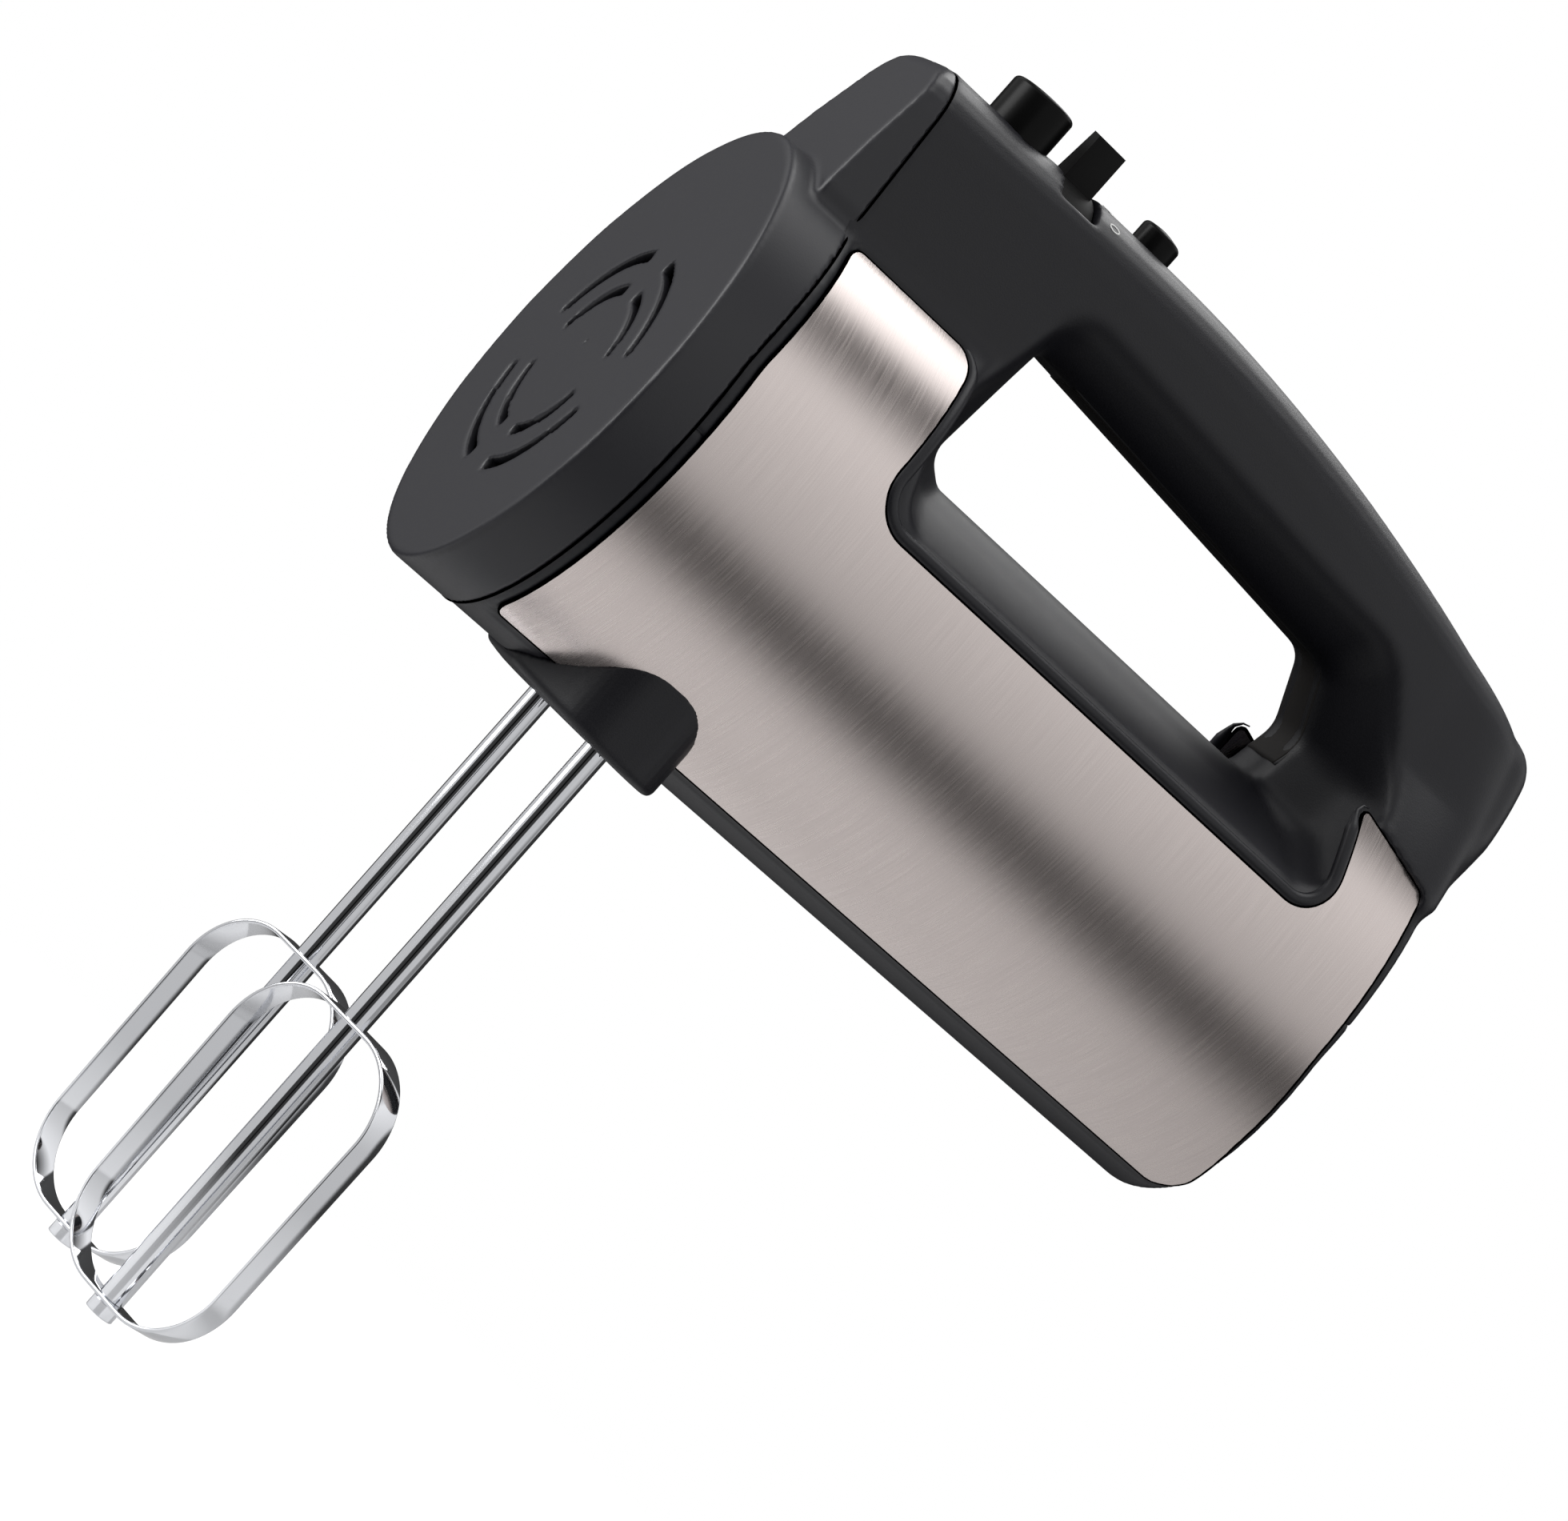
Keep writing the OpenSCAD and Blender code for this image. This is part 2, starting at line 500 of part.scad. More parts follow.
// hollow steel spindle with a slot across its lower end for the beater's lugs
module spindle() color([0.7, 0.7, 0.72]) difference() {
    translate([0, 0, spindle_low]) cylinder(h = cover_z + plate_t - spindle_low, r = spindle_r);
    translate([0, 0, spindle_low - 1]) cylinder(h = cover_z + plate_t, r = shaft_d / 2 + run_gap);
    rotate(loop_angle) translate([-10, -lug_t / 2 - free_gap, spindle_low - 1])
        cube([20, lug_t + 2 * free_gap, lug_top + free_gap - spindle_low + 1]);
}
module spindle_left() translate([0, -spindle_y, 0]) spindle();
module spindle_right() translate([0, spindle_y, 0]) spindle();
function gear_outline(r, depth, teeth) = [for (k = [0 : teeth - 1], c = [[-0.27, -depth], [-0.15, 0], [0.15, 0],
    [0.27, -depth]]) let (a = 360 * (k + c.x) / teeth) (r + c.y) * [cos(a), sin(a)]];
module drive_gear() color([0.9, 0.9, 0.86]) difference() {
    translate([0, 0, motor_z - gear_h / 2]) linear_extrude(gear_h) polygon(gear_outline(gear_r, 2, gear_teeth));
    translate([0, 0, motor_z - gear_h]) cylinder(h = 2 * gear_h, r = spindle_r);
    for (s = [0, 1]) translate([0, 0, motor_z + (s == 0 ? -gear_h / 2 - 1 : 2)])
        ring(gear_r - 4, spindle_r + 3, gear_h / 2 - 1);
}
module drive_gear_left() translate([0, -spindle_y, 0]) drive_gear();
module drive_gear_right() translate([0, spindle_y, 0]) drive_gear();

// ---- beaters ----
lug_t = 1.6;
lug_top = 9;
loop_top = loop_h - beater_drop + 3;
loop_low = 3 - beater_drop;
module beater_shaft() color([0.85, 0.85, 0.86]) {
    r = shaft_d / 2;
    rotate_extrude() polygon([[0, loop_low], [1.8, loop_low], [1.8, loop_low + strap_t],
        [r, loop_low + strap_t], [r, shaft_in - 7], [r - 0.5, shaft_in - 6.4], [r - 0.5, shaft_in - 4.6],
        [r, shaft_in - 4], [r, shaft_in - 2], [r - 1.4, shaft_in], [0, shaft_in]]);
    rotate(loop_angle) translate([-spindle_r + 0.6, -lug_t / 2, 3]) cube([2 * spindle_r - 1.2, lug_t, lug_top - 3]);
    translate([0, 0, -beater_drop]) cylinder(h = 3, r = 3.4);
}
loop_outline = [[-loop_w / 2 + 1, loop_low, 18], [loop_w / 2 - 1, loop_low, 18], [loop_w / 2, loop_top, 17],
    [-loop_w / 2, loop_top, 17]];
module beater_strap() color([0.85, 0.85, 0.86]) difference() {
    rotate(loop_angle) across_y(-strap_w / 2, strap_w / 2) difference() {
        polygon(rounded(loop_outline, 10));
        polygon(rounded(grown(loop_outline, -strap_t), 10));
    }
    translate([0, 0, loop_low - 1]) cylinder(h = 5, r = 1.8);
    translate([0, 0, loop_top - 5]) cylinder(h = 10, r = shaft_d / 2);
}
module beater_shaft_left() translate([0, -spindle_y, 0]) beater_shaft();
module beater_shaft_right() translate([0, spindle_y, 0]) beater_shaft();
module beater_strap_left() translate([0, -spindle_y, 0]) beater_strap();
module beater_strap_right() translate([0, spindle_y, 0]) beater_strap();

// ---- motor ----
worm_l = 26;
module armature_shaft() color([0.66, 0.66, 0.68]) on_motor_axis(0) {
    translate([0, 0, front_bearing_x]) cylinder(h = rear_bearing_x + bearing_w - front_bearing_x, r = shaft_r);
    // the worm, as a row of thread crests on its root
    rotate_extrude() polygon(concat([[0, -worm_l / 2]], [for (k = [0 : 12], c = [[-0.8, 0], [-0.4, 1], [0.4, 1], [0.8, 0]])
        [worm_r - 1.2 * (1 - c.y), (k - 6) * 2 + c.x]], [[0, worm_l / 2]]));
}
module armature_core() color([0.5, 0.5, 0.52]) on_motor_axis(stator_front + 1) difference() {
    linear_extrude(stator_l - 2) difference() {
        circle(d = armature_d);
        for (k = [0 : 11]) rotate(k * 30) translate([armature_d / 2 - 6, -1]) square([8, 2]);
        circle(r = shaft_r);
    }
}
module armature_windings() color([0.72, 0.36, 0.15]) for (x = [stator_front - 6, stator_rear - 1])
    on_motor_axis(x) rotate_extrude() polygon([[shaft_r, 0], [12, 0], [14.2, 2], [14.2, 5], [12, 7], [shaft_r, 7]]);
module commutator() color([0.75, 0.45, 0.25]) on_motor_axis(commutator_x) linear_extrude(commutator_l)
    difference() {
        circle(r = commutator_r);
        for (k = [0 : 23]) rotate(k * 15) translate([commutator_r - 0.8, -0.3]) square([2, 0.6]);
        circle(r = shaft_r);
    }
fan_x = middle_bearing_x + bearing_w + 4;
fan_r = 23;
module cooling_fan() color([0.3, 0.3, 0.32]) on_motor_axis(fan_x) {
    ring(9, shaft_r, 10);
    for (k = [0 : 10]) rotate(k * 360 / 11) translate([8.5, -0.8, 1.5]) cube([fan_r - 9, 1.6, 8.5]);
    ring(fan_r, 8.9, 1.6);
}
module bearing(x) color([0.6, 0.62, 0.64]) on_motor_axis(x) difference() {
    ring(bearing_r, shaft_r + run_gap, bearing_w);
    for (z = [-1, bearing_w - 0.5]) translate([0, 0, z]) ring(bearing_r - 1.4, shaft_r + 1.4, 1.5);
}
module front_bearing() bearing(front_bearing_x);
module middle_bearing() bearing(middle_bearing_x);
module rear_bearing() bearing(rear_bearing_x);
coil_y = [13.3, stator_w / 2 - 6.5];
coil_z = [armature_d / 2 - 3, stator_h / 2 - 2.8];
screw_at = [stator_w / 2 - 3.4, stator_h / 2 - 3.4];
module at_corners() for (sy = [-1, 1], sz = [-1, 1]) translate([sz * screw_at.y, sy * screw_at.x]) children();
module stator_core() color([0.45, 0.45, 0.48]) on_motor_axis(stator_front) linear_extrude(stator_l) difference() {
    polygon(rounded([[-stator_h / 2, -stator_w / 2, 6], [stator_h / 2, -stator_w / 2, 6],
        [stator_h / 2, stator_w / 2, 6], [-stator_h / 2, stator_w / 2, 6]]));
    circle(r = armature_d / 2 + 0.5);
    for (sy = [-1, 1], sz = [-1, 1]) translate([sz > 0 ? coil_z.x : -coil_z.y, sy > 0 ? coil_y.x : -coil_y.y])
        square([coil_z.y - coil_z.x, coil_y.y - coil_y.x]);
    at_corners() circle(r = screw_r);
}
// one racetrack coil round each pole
module field_coils() color([0.7, 0.33, 0.12]) for (s = [-1, 1]) difference() {
    translate([stator_front - 6, -coil_y.y, motor_z + (s > 0 ? coil_z.x : -coil_z.y)])
        cube([stator_l + 12, 2 * coil_y.y, coil_z.y - coil_z.x]);
    translate([stator_front, -coil_y.x, motor_z - 50]) cube([stator_l, 2 * coil_y.x, 100]);
}
bracket_t = 5;
module motor_bracket() color([0.7, 0.7, 0.72]) difference() {
    union() {
        // end plate with the rear bearing, on four posts against the stator
        translate([rear_bearing_x, -stator_w / 2, motor_z - 10]) cube([bracket_t, stator_w, 20]);
        translate([rear_bearing_x, -10, motor_z - stator_h / 2]) cube([bracket_t, 20, stator_h]);
        for (sy = [-1, 1]) translate([stator_rear, sy * screw_at.x - 1.7, motor_z - 10])
            cube([rear_bearing_x - stator_rear + 1, 3.4, 20]);
        on_motor_axis(rear_bearing_x) cylinder(h = bearing_w, r = bearing_r + 2);
        for (sy = [-1, 1]) translate([stator_rear, sy > 0 ? coil_y.y + 0.3 : -stator_w / 2,
            motor_z - stator_h / 2 + 0.4]) cube([4, stator_w / 2 - coil_y.y - 0.3, stator_h - 0.8]);
    }
    on_motor_axis(rear_bearing_x - 1) cylinder(h = bearing_w + 2, r = bearing_r);
    on_motor_axis(stator_rear - 1) at_corners() cylinder(h = 6, r = screw_r);
    for (s = [-1, 1]) translate([commutator_x + 1, s > 0 ? 11 : -40, motor_z - 5]) cube([11, 29, 10]);
}
module motor_screws() color([0.75, 0.75, 0.75]) on_motor_axis(stator_front + 2) at_corners() {
    cylinder(h = stator_l + 2, r = screw_r);
    translate([0, 0, stator_l + 2]) cylinder(h = 2, r = 2.6);
}
// the carbon brushes sit in square holders on each side of the commutator
module brush_holders() color([0.75, 0.65, 0.3]) for (s = [-1, 1]) difference() {
    translate([commutator_x + 1, s > 0 ? 11 : -26, motor_z - 5]) cube([11, 15, 10]);
    translate([commutator_x + 3, s > 0 ? 10 : -25, motor_z - 3]) cube([7, 15, 6]);
}
brush_l = 8;
brush_end = commutator_r + free_gap + brush_l;
module carbon_brushes() color([0.2, 0.2, 0.2]) for (s = [-1, 1])
    translate([commutator_x + 3, s > 0 ? commutator_r + free_gap : -commutator_r - free_gap - brush_l, motor_z - 3])
    cube([7, brush_l, 6]);
module brush_springs() color([0.75, 0.75, 0.75]) for (s = [-1, 1])
    translate([commutator_x + 6.5, s * brush_end, motor_z]) rotate([-90 * s, 0, 0])
        spring_rings(2, 0.7, 25 - brush_end, 5);

// ---- cord inlet and fasteners ----
module cord_gland() color([0.1, 0.1, 0.1]) translate([tail_x - 13, 0, cord_z]) rotate([0, 90, 0]) {
    ring(gland_r, cord_r, 12.4);
    ring(gland_r + 2, cord_r, 2);
}
module clamp_holes(z) for (s = [-1, 1]) translate([body_rear - 9, s * 8, z]) cylinder(h = clamp_z + 4 - z, r = 1.2);
module cord_clamp() color([0.85, 0.85, 0.82]) difference() {
    translate([body_rear - 12, -11, clamp_z]) cube([6, 22, 4]);
    clamp_holes(clamp_z - 5);
}
module clamp_screws() color([0.75, 0.75, 0.75]) {
    clamp_holes(clamp_z - 5);
    for (s = [-1, 1]) translate([body_rear - 9, s * 8, clamp_z + 4]) cylinder(h = 1.6, r = 2.4);
}
module housing_screws() color([0.75, 0.75, 0.75]) {
    screw_columns(screw_seat, screw_seat + screw_head, 2 * screw_r);
    screw_columns(screw_seat, body_z + 14, screw_r);
}

front_cap();
upper_housing();
motor_housing();
handle_cover();
steel_panel_left();
steel_panel_right();
socket_collar();
eject_button();
eject_rod();
ejector_plate();
ejector_spring();
speed_lever();
lever_pivot();
speed_switch();
control_board();
turbo_button();
turbo_spring();
turbo_switch();
gearbox_base();
gearbox_cover();
spindle_bushes();
spindle_left();
spindle_right();
drive_gear_left();
drive_gear_right();
beater_shaft_left();
beater_shaft_right();
beater_strap_left();
beater_strap_right();
armature_shaft();
armature_core();
armature_windings();
commutator();
cooling_fan();
front_bearing();
middle_bearing();
rear_bearing();
stator_core();
field_coils();
motor_bracket();
brush_holders();
carbon_brushes();
brush_springs();
cord_gland();
cord_clamp();
clamp_screws();
housing_screws();
gearbox_screws();
motor_screws();
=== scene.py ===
"""An electric hand mixer: its casing, steel sides, controls, beaters and drive, dressed and lit."""
from __future__ import annotations

import logging
import math
from dataclasses import dataclass, field
from enum import Enum

import bmesh
import bpy
import numpy as np
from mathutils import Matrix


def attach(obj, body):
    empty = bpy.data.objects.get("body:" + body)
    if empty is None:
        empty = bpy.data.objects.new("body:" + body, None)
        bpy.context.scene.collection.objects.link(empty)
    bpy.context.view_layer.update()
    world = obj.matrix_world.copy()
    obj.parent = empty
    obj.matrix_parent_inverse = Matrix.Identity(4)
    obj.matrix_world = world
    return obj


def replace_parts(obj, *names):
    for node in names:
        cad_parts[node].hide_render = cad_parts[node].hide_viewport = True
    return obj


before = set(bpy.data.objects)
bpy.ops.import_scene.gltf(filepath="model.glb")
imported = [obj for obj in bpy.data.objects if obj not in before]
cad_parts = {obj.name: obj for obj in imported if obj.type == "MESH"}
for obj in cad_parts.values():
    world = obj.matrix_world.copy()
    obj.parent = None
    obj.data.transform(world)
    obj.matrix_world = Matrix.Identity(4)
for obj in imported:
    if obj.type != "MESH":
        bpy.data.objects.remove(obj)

import openvdb
from mathutils import Matrix, Vector

Array = np.ndarray
Corners = tuple[tuple[float, float, float], ...]
Piece = bpy.types.Object
MM = 0.001
LOG = logging.getLogger("mixer")


class Slot(Enum):
    """Material slots of the record."""

    MATT = "matt_black"
    SATIN = "satin_black"
    STRIP = "strip_grey"
    BUTTON = "button_black"
    STEEL = "brushed_steel"
    CHROME = "chrome"
    PLAIN = "plain_steel"
    CREAM = "cream_plastic"
    INNER = "inner_black"
    BOARD = "board_green"
    CAST = "cast_metal"
    BRONZE = "bronze"
    LAMINATION = "lamination"
    COPPER = "copper"
    CARBON = "carbon"
    RUBBER = "rubber_black"


class Body(Enum):
    """Bodies of the moving model."""

    CASING = "casing"
    EJECTOR = "ejector"
    SELECTOR = "speed_selector"
    TURBO = "turbo_key"
    LEFT_BEATER = "left_beater"
    RIGHT_BEATER = "right_beater"


# ---- shader maths


@dataclass
class Wire:
    """One socket of a node tree that Python's operators work on."""

    tree: bpy.types.NodeTree
    socket: bpy.types.NodeSocket

    def node(self, kind: str, settings: dict[str, object], *values: object) -> "Wire":
        """Adds a node and feeds its sockets in order.

        Args:
            kind: The node's type.
            settings: Properties that are set before its sockets are fed.
            values: Numbers, tuples or wires for the first sockets; None leaves one as it is.
        Returns:
            The node's first output.
        """
        made = self.tree.nodes.new(kind)
        for key, value in settings.items():
            setattr(made, key, value)
        for socket, value in zip(made.inputs, values):
            if isinstance(value, Wire):
                self.tree.links.new(value.socket, socket)
            elif value is not None:
                socket.default_value = value
        return Wire(self.tree, made.outputs[0])

    def maths(self, operation: str, *values: object) -> "Wire":
        """Adds a Math node."""
        return self.node("ShaderNodeMath", {"operation": operation}, *values)

    def __add__(self, other: object) -> "Wire":
        """Sum."""
        return self.maths("ADD", self, other)

    def __mul__(self, other: object) -> "Wire":
        """Product."""
        return self.maths("MULTIPLY", self, other)

    def __sub__(self, other: object) -> "Wire":
        """Difference."""
        return self.maths("SUBTRACT", self, other)

    def __rsub__(self, other: object) -> "Wire":
        """Difference the other way round."""
        return self.maths("SUBTRACT", other, self)

    __radd__ = __add__
    __rmul__ = __mul__

    def stretched(self, scale: tuple[float, float, float]) -> "Wire":
        """The vector scaled along each axis."""
        return self.node("ShaderNodeMapping", {}, self, None, None, scale)

    def noise(self, scale: float, detail: float = 3.0) -> "Wire":
        """Noise over this vector."""
        return self.node("ShaderNodeTexNoise", {}, self, None, scale, detail)


@dataclass(frozen=True)
class Finish:
    """A plain finish: one colour, its gloss and a fine texture.

    Attributes:
        slot: The record's slot.
        colour: Linear base colour.
        rough: Roughness.
        metal: Metallic share.
        gloss: Specular level of a plastic.
        grain: Size of the texture's cells in mm; 0 for none.
        depth: Depth of the texture in mm.
        spread: How far the roughness varies with the texture.
        streak: How much longer than wide the cells are along Z.
        tint: How far the colour varies.
        name: The material's name, where two finishes share a slot.
    """

    slot: Slot
    colour: tuple[float, float, float]
    rough: float = 0.4
    metal: float = 0.0
    gloss: float = 0.5
    grain: float = 0.0
    depth: float = 0.0
    spread: float = 0.0
    streak: float = 1.0
    tint: float = 0.0
    name: str = ""

    def material(self) -> bpy.types.Material:
        """Returns the material, made on first use."""
        name = "finish_" + (self.name or self.slot.value)
        found = bpy.data.materials.get(name)
        if found:
            return found
        made = bpy.data.materials.new(name)
        made.use_nodes = True
        made.diffuse_color = (*self.colour, 1.0)
        tree = made.node_tree
        shader = tree.nodes["Principled BSDF"]
        shader.inputs["Base Color"].default_value = (*self.colour, 1.0)
        shader.inputs["Roughness"].default_value = self.rough
        shader.inputs["Metallic"].default_value = self.metal
        shader.inputs["Specular IOR Level"].default_value = self.gloss
        if self.grain:
            place = Wire(tree, tree.nodes.new("ShaderNodeTexCoord").outputs["Object"])
            across = 1.0 / (self.grain * MM)
            cells = place.stretched((across, across / self.streak, across / self.streak)).noise(1.0)
            if self.spread:
                rough = cells * (2 * self.spread) + (self.rough - self.spread)
                tree.links.new(rough.socket, shader.inputs["Roughness"])
            if self.tint:
                shades = [(*(c * (1 + s * self.tint) for c in self.colour), 1.0) for s in (-1, 1)]
                mixed = cells.node("ShaderNodeMix", {"data_type": "RGBA"}, cells)
                mix = mixed.socket.node
                mix.inputs[6].default_value, mix.inputs[7].default_value = shades
                tree.links.new(mix.outputs[2], shader.inputs["Base Color"])
            if self.depth:
                bump = cells.node("ShaderNodeBump", {}, 1.0, self.depth * MM)
                tree.links.new(cells.socket, bump.socket.node.inputs["Height"])
                tree.links.new(bump.socket, shader.inputs["Normal"])
        return made

    def dress(self, piece: Piece) -> Piece:
        """Gives a piece this finish."""
        piece.data.materials.clear()
        piece.data.materials.append(self.material())
        return piece


MATT = Finish(Slot.MATT, (0.0065, 0.0065, 0.0095), 0.44, gloss=0.36, grain=0.4, depth=0.03, spread=0.05)
SATIN = Finish(Slot.SATIN, (0.016, 0.016, 0.020), 0.42, gloss=0.42, grain=0.4, depth=0.015, spread=0.04)
STRIP = Finish(Slot.STRIP, (0.020, 0.018, 0.017), 0.62, gloss=0.15, grain=0.4, depth=0.015, spread=0.05)
BUTTON = Finish(Slot.BUTTON, (0.002, 0.002, 0.002), 0.30, gloss=0.10)
LEVER = Finish(Slot.BUTTON, (0.006, 0.006, 0.006), 0.62, gloss=0.12, name="lever_black")
# Pure black with no gloss: painted shade for the dark gaps of the cap's seam and round the steel sides.
PAINTED_GAP_SHADE = Finish(Slot.INNER, (0.0, 0.0, 0.0), 0.9, gloss=0.0, name="gap_shadow")
STEEL = Finish(Slot.STEEL, (0.63, 0.565, 0.545), 0.26, 1.0, grain=0.36, depth=0.004, spread=0.07,
               streak=40, tint=0.13)
CHROME = Finish(Slot.CHROME, (0.74, 0.75, 0.78), 0.06, 1.0)
PLAIN = Finish(Slot.PLAIN, (0.55, 0.55, 0.56), 0.32, 1.0)
CREAM = Finish(Slot.CREAM, (0.80, 0.78, 0.70), 0.45)
INNER = Finish(Slot.INNER, (0.020, 0.020, 0.022), 0.6)
BOARD = Finish(Slot.BOARD, (0.03, 0.18, 0.07), 0.35)
CAST = Finish(Slot.CAST, (0.55, 0.55, 0.56), 0.5, 1.0)
BRONZE = Finish(Slot.BRONZE, (0.60, 0.38, 0.18), 0.4, 1.0)
LAMINATION = Finish(Slot.LAMINATION, (0.22, 0.22, 0.23), 0.55, 0.8)
COPPER = Finish(Slot.COPPER, (0.62, 0.25, 0.10), 0.35, 1.0)
CARBON = Finish(Slot.CARBON, (0.03, 0.03, 0.03), 0.7)
RUBBER = Finish(Slot.RUBBER, (0.02, 0.02, 0.02), 0.65)
MARK = Finish(Slot.SATIN, (0.55, 0.55, 0.54), 0.5, name="printed_mark")


# ---- outlines and grids


def unit(v: Array) -> Array:
    """Rows of v at length one."""
    return v / np.maximum(np.linalg.norm(v, axis=-1, keepdims=True), 1e-12)


def grown(corners: Array, d: float) -> Array:
    """The outline moved outwards by d: each corner moves along its two edges' normals, its radius with it."""
    p = corners[:, :2]
    along = unit(p - np.roll(p, 1, 0))
    n = np.stack([along[:, 1], -along[:, 0]], -1)
    m = np.roll(n, -1, 0)
    moved = p + d * (n + m) / (1 + (n * m).sum(1))[:, None]
    ahead = np.roll(along, -1, 0)
    turn = np.sign(along[:, 0] * ahead[:, 1] - along[:, 1] * ahead[:, 0])
    return np.column_stack([moved, np.maximum(0.1, corners[:, 2] + turn * d)])


def rounded(corners: Array, n: int = 8) -> Array:
    """Points round an outline whose corners are arcs: centre + r (cos t, sin t), n steps a corner."""
    p, r = corners[:, :2], corners[:, 2:3]
    a, e = unit(np.roll(p, 1, 0) - p), unit(np.roll(p, -1, 0) - p)
    half = np.arccos(np.clip((a * e).sum(1), -1, 1))[:, None] / 2
    centre = p + unit(a + e) * r / np.sin(half)
    start, end = p + a * r / np.tan(half) - centre, p + e * r / np.tan(half) - centre
    t0 = np.arctan2(start[:, 1], start[:, 0])
    sweep = (np.arctan2(end[:, 1], end[:, 0]) - t0 + np.pi) % (2 * np.pi) - np.pi
    t = t0[:, None] + sweep[:, None] * np.linspace(0, 1, n + 1)
    return (centre[:, None] + r[:, None] * np.stack([np.cos(t), np.sin(t)], -1)).reshape(-1, 2)


def ellipse(a: float, b: float, n: int) -> Array:
    """Points round an ellipse: (a cos t, b sin t), n of them."""
    t = np.linspace(0, 2 * np.pi, n, endpoint=False)
    return np.stack([a * np.cos(t), b * np.sin(t)], -1)


def resampled(line: Array, count: int) -> Array:
    """Places spread evenly by length along a line of points, both ends among them."""
    gone = np.concatenate([[0], np.cumsum(np.linalg.norm(np.diff(line, axis=0), axis=1))])
    at = np.linspace(0, gone[-1], count)
    return np.stack([np.interp(at, gone, column) for column in line.T], -1)


def pairs(u: Array, v: Array) -> Array:
    """Every (u, v) place of two axes, as rows."""
    return np.stack(np.meshgrid(u, v, indexing="ij"), -1).reshape(-1, 2)


def between(x: Array, places: Array, values: Array) -> Array:
    """Smooth values between stations: a cubic through each station with the mean slope of its two sides."""
    slope = np.gradient(values, places, axis=0)
    i = np.clip(np.searchsorted(places, x) - 1, 0, len(places) - 2)
    step = places[i + 1] - places[i]
    t = np.clip((x - places[i]) / step, 0, 1).reshape(-1, *[1] * (values.ndim - 1))
    step = step.reshape(t.shape)
    return ((1 + 2 * t) * (1 - t) ** 2 * values[i] + t * (1 - t) ** 2 * step * slope[i]
            + t * t * (3 - 2 * t) * values[i + 1] + t * t * (t - 1) * step * slope[i + 1])


def signed_distance(points: Array, ring: Array) -> Array:
    """Distance to a closed ring, negative inside: the least distance to its edges, signed by edge crossings.

    Args:
        points: Places (n, 2).
        ring: The ring's points (m, 2).
    Returns:
        The distances (n,).
    """
    least = np.full(len(points), 1e9)
    inside = np.zeros(len(points), bool)
    x, y = points[:, 0], points[:, 1]
    for p, q in zip(ring, np.roll(ring, -1, 0)):
        e = q - p
        size = float(e @ e)
        if size < 1e-10:
            continue
        wx, wy = x - p[0], y - p[1]
        t = np.clip((wx * e[0] + wy * e[1]) / size, 0, 1)
        least = np.minimum(least, (wx - t * e[0]) ** 2 + (wy - t * e[1]) ** 2)
        if p[1] != q[1]:
            crosses = (p[1] > y) != (q[1] > y)
            inside ^= crosses & (wx < wy * e[0] / e[1])
    return np.where(inside, -1, 1) * np.sqrt(least)


def oval_distance(y: Array, z: Array, a: float, b: float) -> Array:
    """Distance to an ellipse with half-axes a and b: g (g - 1) / |grad g| g with g the scaled radius."""
    g = np.sqrt((y / a) ** 2 + (z / b) ** 2)
    return g * (g - 1) / np.maximum(np.sqrt((y / a ** 2) ** 2 + (z / b ** 2) ** 2), 1e-6)


def joined(a: Array, b: Array, k: float) -> Array:
    """Two fields joined, with a fillet: min(a, b) - h h k / 4 with h = max(k - |a - b|, 0) / k."""
    h = np.maximum(k - np.abs(a - b), 0) / k
    return np.minimum(a, b) - h * h * k / 4


def common(a: Array, b: Array, k: float) -> Array:
    """What two fields share, with its edge rounded."""
    return -joined(-a, -b, k)


